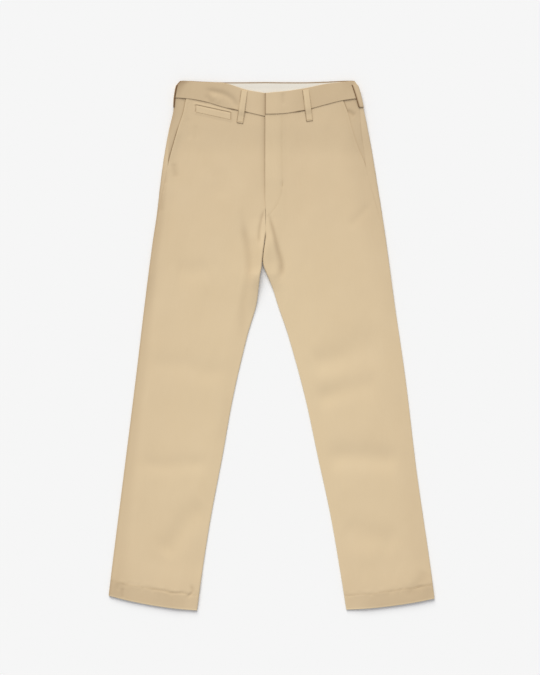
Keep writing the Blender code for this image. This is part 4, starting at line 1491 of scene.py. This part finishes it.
marks = np.array(J_STITCH, float)
along = along_path(marks)
at = np.linspace(0, along[-1], 120)
x, y = (read(np.column_stack([along, marks]), 1 + k, at) for k in range(2))
stitches("fly_stitches", [joined(x, y, front_height(LEFT, x, y) + 0.1)])
stitches("loop_stitches", [run + (0, 0, 0.05) for run in loop_runs])
tacks = [tack(23, 338, 6, float(front_height(LEFT, 23.0, 338.0)) + 0.1, QUARTER)]
for side, _, _, bottom_x, bottom_y in FRONT_LOOPS:
    low = float(front_top(side, bottom_x, bottom_y + 3)) + LOOP_CLEAR + LOOP + 0.4
    tacks.append(tack(bottom_x, bottom_y + 3.0, 11, low))
stitches("bar_tacks", tacks, 0.8, 1.6)

# %% [markdown]
# ## The table, the light and the camera
#
# The garment lies on a pale, even surface. One large soft lamp from beyond the waist, a little to
# the wearer's right, shows the creases, and an even sky fills the rest. The camera looks straight
# down with a long lens, so both hems are seen as the waist is.

# %% Floor
FLOOR, FLOOR_DOWN = 20.0, 0.0003  # metres
corners = [(x * FLOOR, y * FLOOR, -FLOOR_DOWN) for x, y in ((-1, -1), (1, -1), (1, 1), (-1, 1))]
floor_mesh = bpy.data.meshes.new("floor")
floor_mesh.from_pydata(corners, [], [(0, 1, 2, 3)])
floor = placed("floor", floor_mesh)
# matt paper: pale and even, with no gloss, so that only shadows show on it
paper, _, _ = finish_of(
    "matt_paper", {"Base Color": srgb("f6f6f6"), "Roughness": 1.0, "Specular IOR Level": 0.0}
)
floor_mesh.materials.append(paper)
print("the floor is", 2 * FLOOR, "m wide")

# %% Light
LAMP_SHARE = 0.5  # of the floor's light
LAMP_HEIGHT, LAMP_TURN, LAMP_WIDE = (math.radians(angle) for angle in (34, -12, 44))
SKY_COLOUR = np.array([0.985, 0.99, 1.03])
world = bpy.data.worlds.new("sky")
bpy.context.scene.world = world
world.use_nodes = True
sky = world.node_tree.nodes["Background"]
sky.inputs["Color"].default_value = (*SKY_COLOUR, 1.0)
sky.inputs["Strength"].default_value = 1 - LAMP_SHARE
lamp_data = bpy.data.lights.new("soft_lamp", "SUN")
lamp_data.energy = LAMP_SHARE * math.pi / math.sin(LAMP_HEIGHT)
lamp_data.color = (1 - (1 - LAMP_SHARE) * SKY_COLOUR) / LAMP_SHARE  # the two lights together are white
lamp_data.angle = LAMP_WIDE
lamp = placed("soft_lamp", lamp_data)
lamp.rotation_euler = (-(math.pi / 2 - LAMP_HEIGHT), 0, -LAMP_TURN)  # the turn is from +Y towards +X
print("the lamp's strength is", round(lamp_data.energy, 2))

# %% Camera
CAMERA_UP, SENSOR = 4.0, 36.0  # metres up, and the sensor's long side in mm
FRAME_HIGH = 675 * 2.1 * MM  # what the picture's height covers on the floor
camera_data = bpy.data.cameras.new("camera")
camera_data.sensor_width = SENSOR
camera_data.lens = SENSOR * CAMERA_UP / FRAME_HIGH
camera = placed("camera", camera_data)
camera.location = (-0.0029, 0.0176, CAMERA_UP)
bpy.context.scene.camera = camera
bpy.context.scene.view_settings.view_transform = "Standard"
print("the lens is", round(camera_data.lens), "mm long")
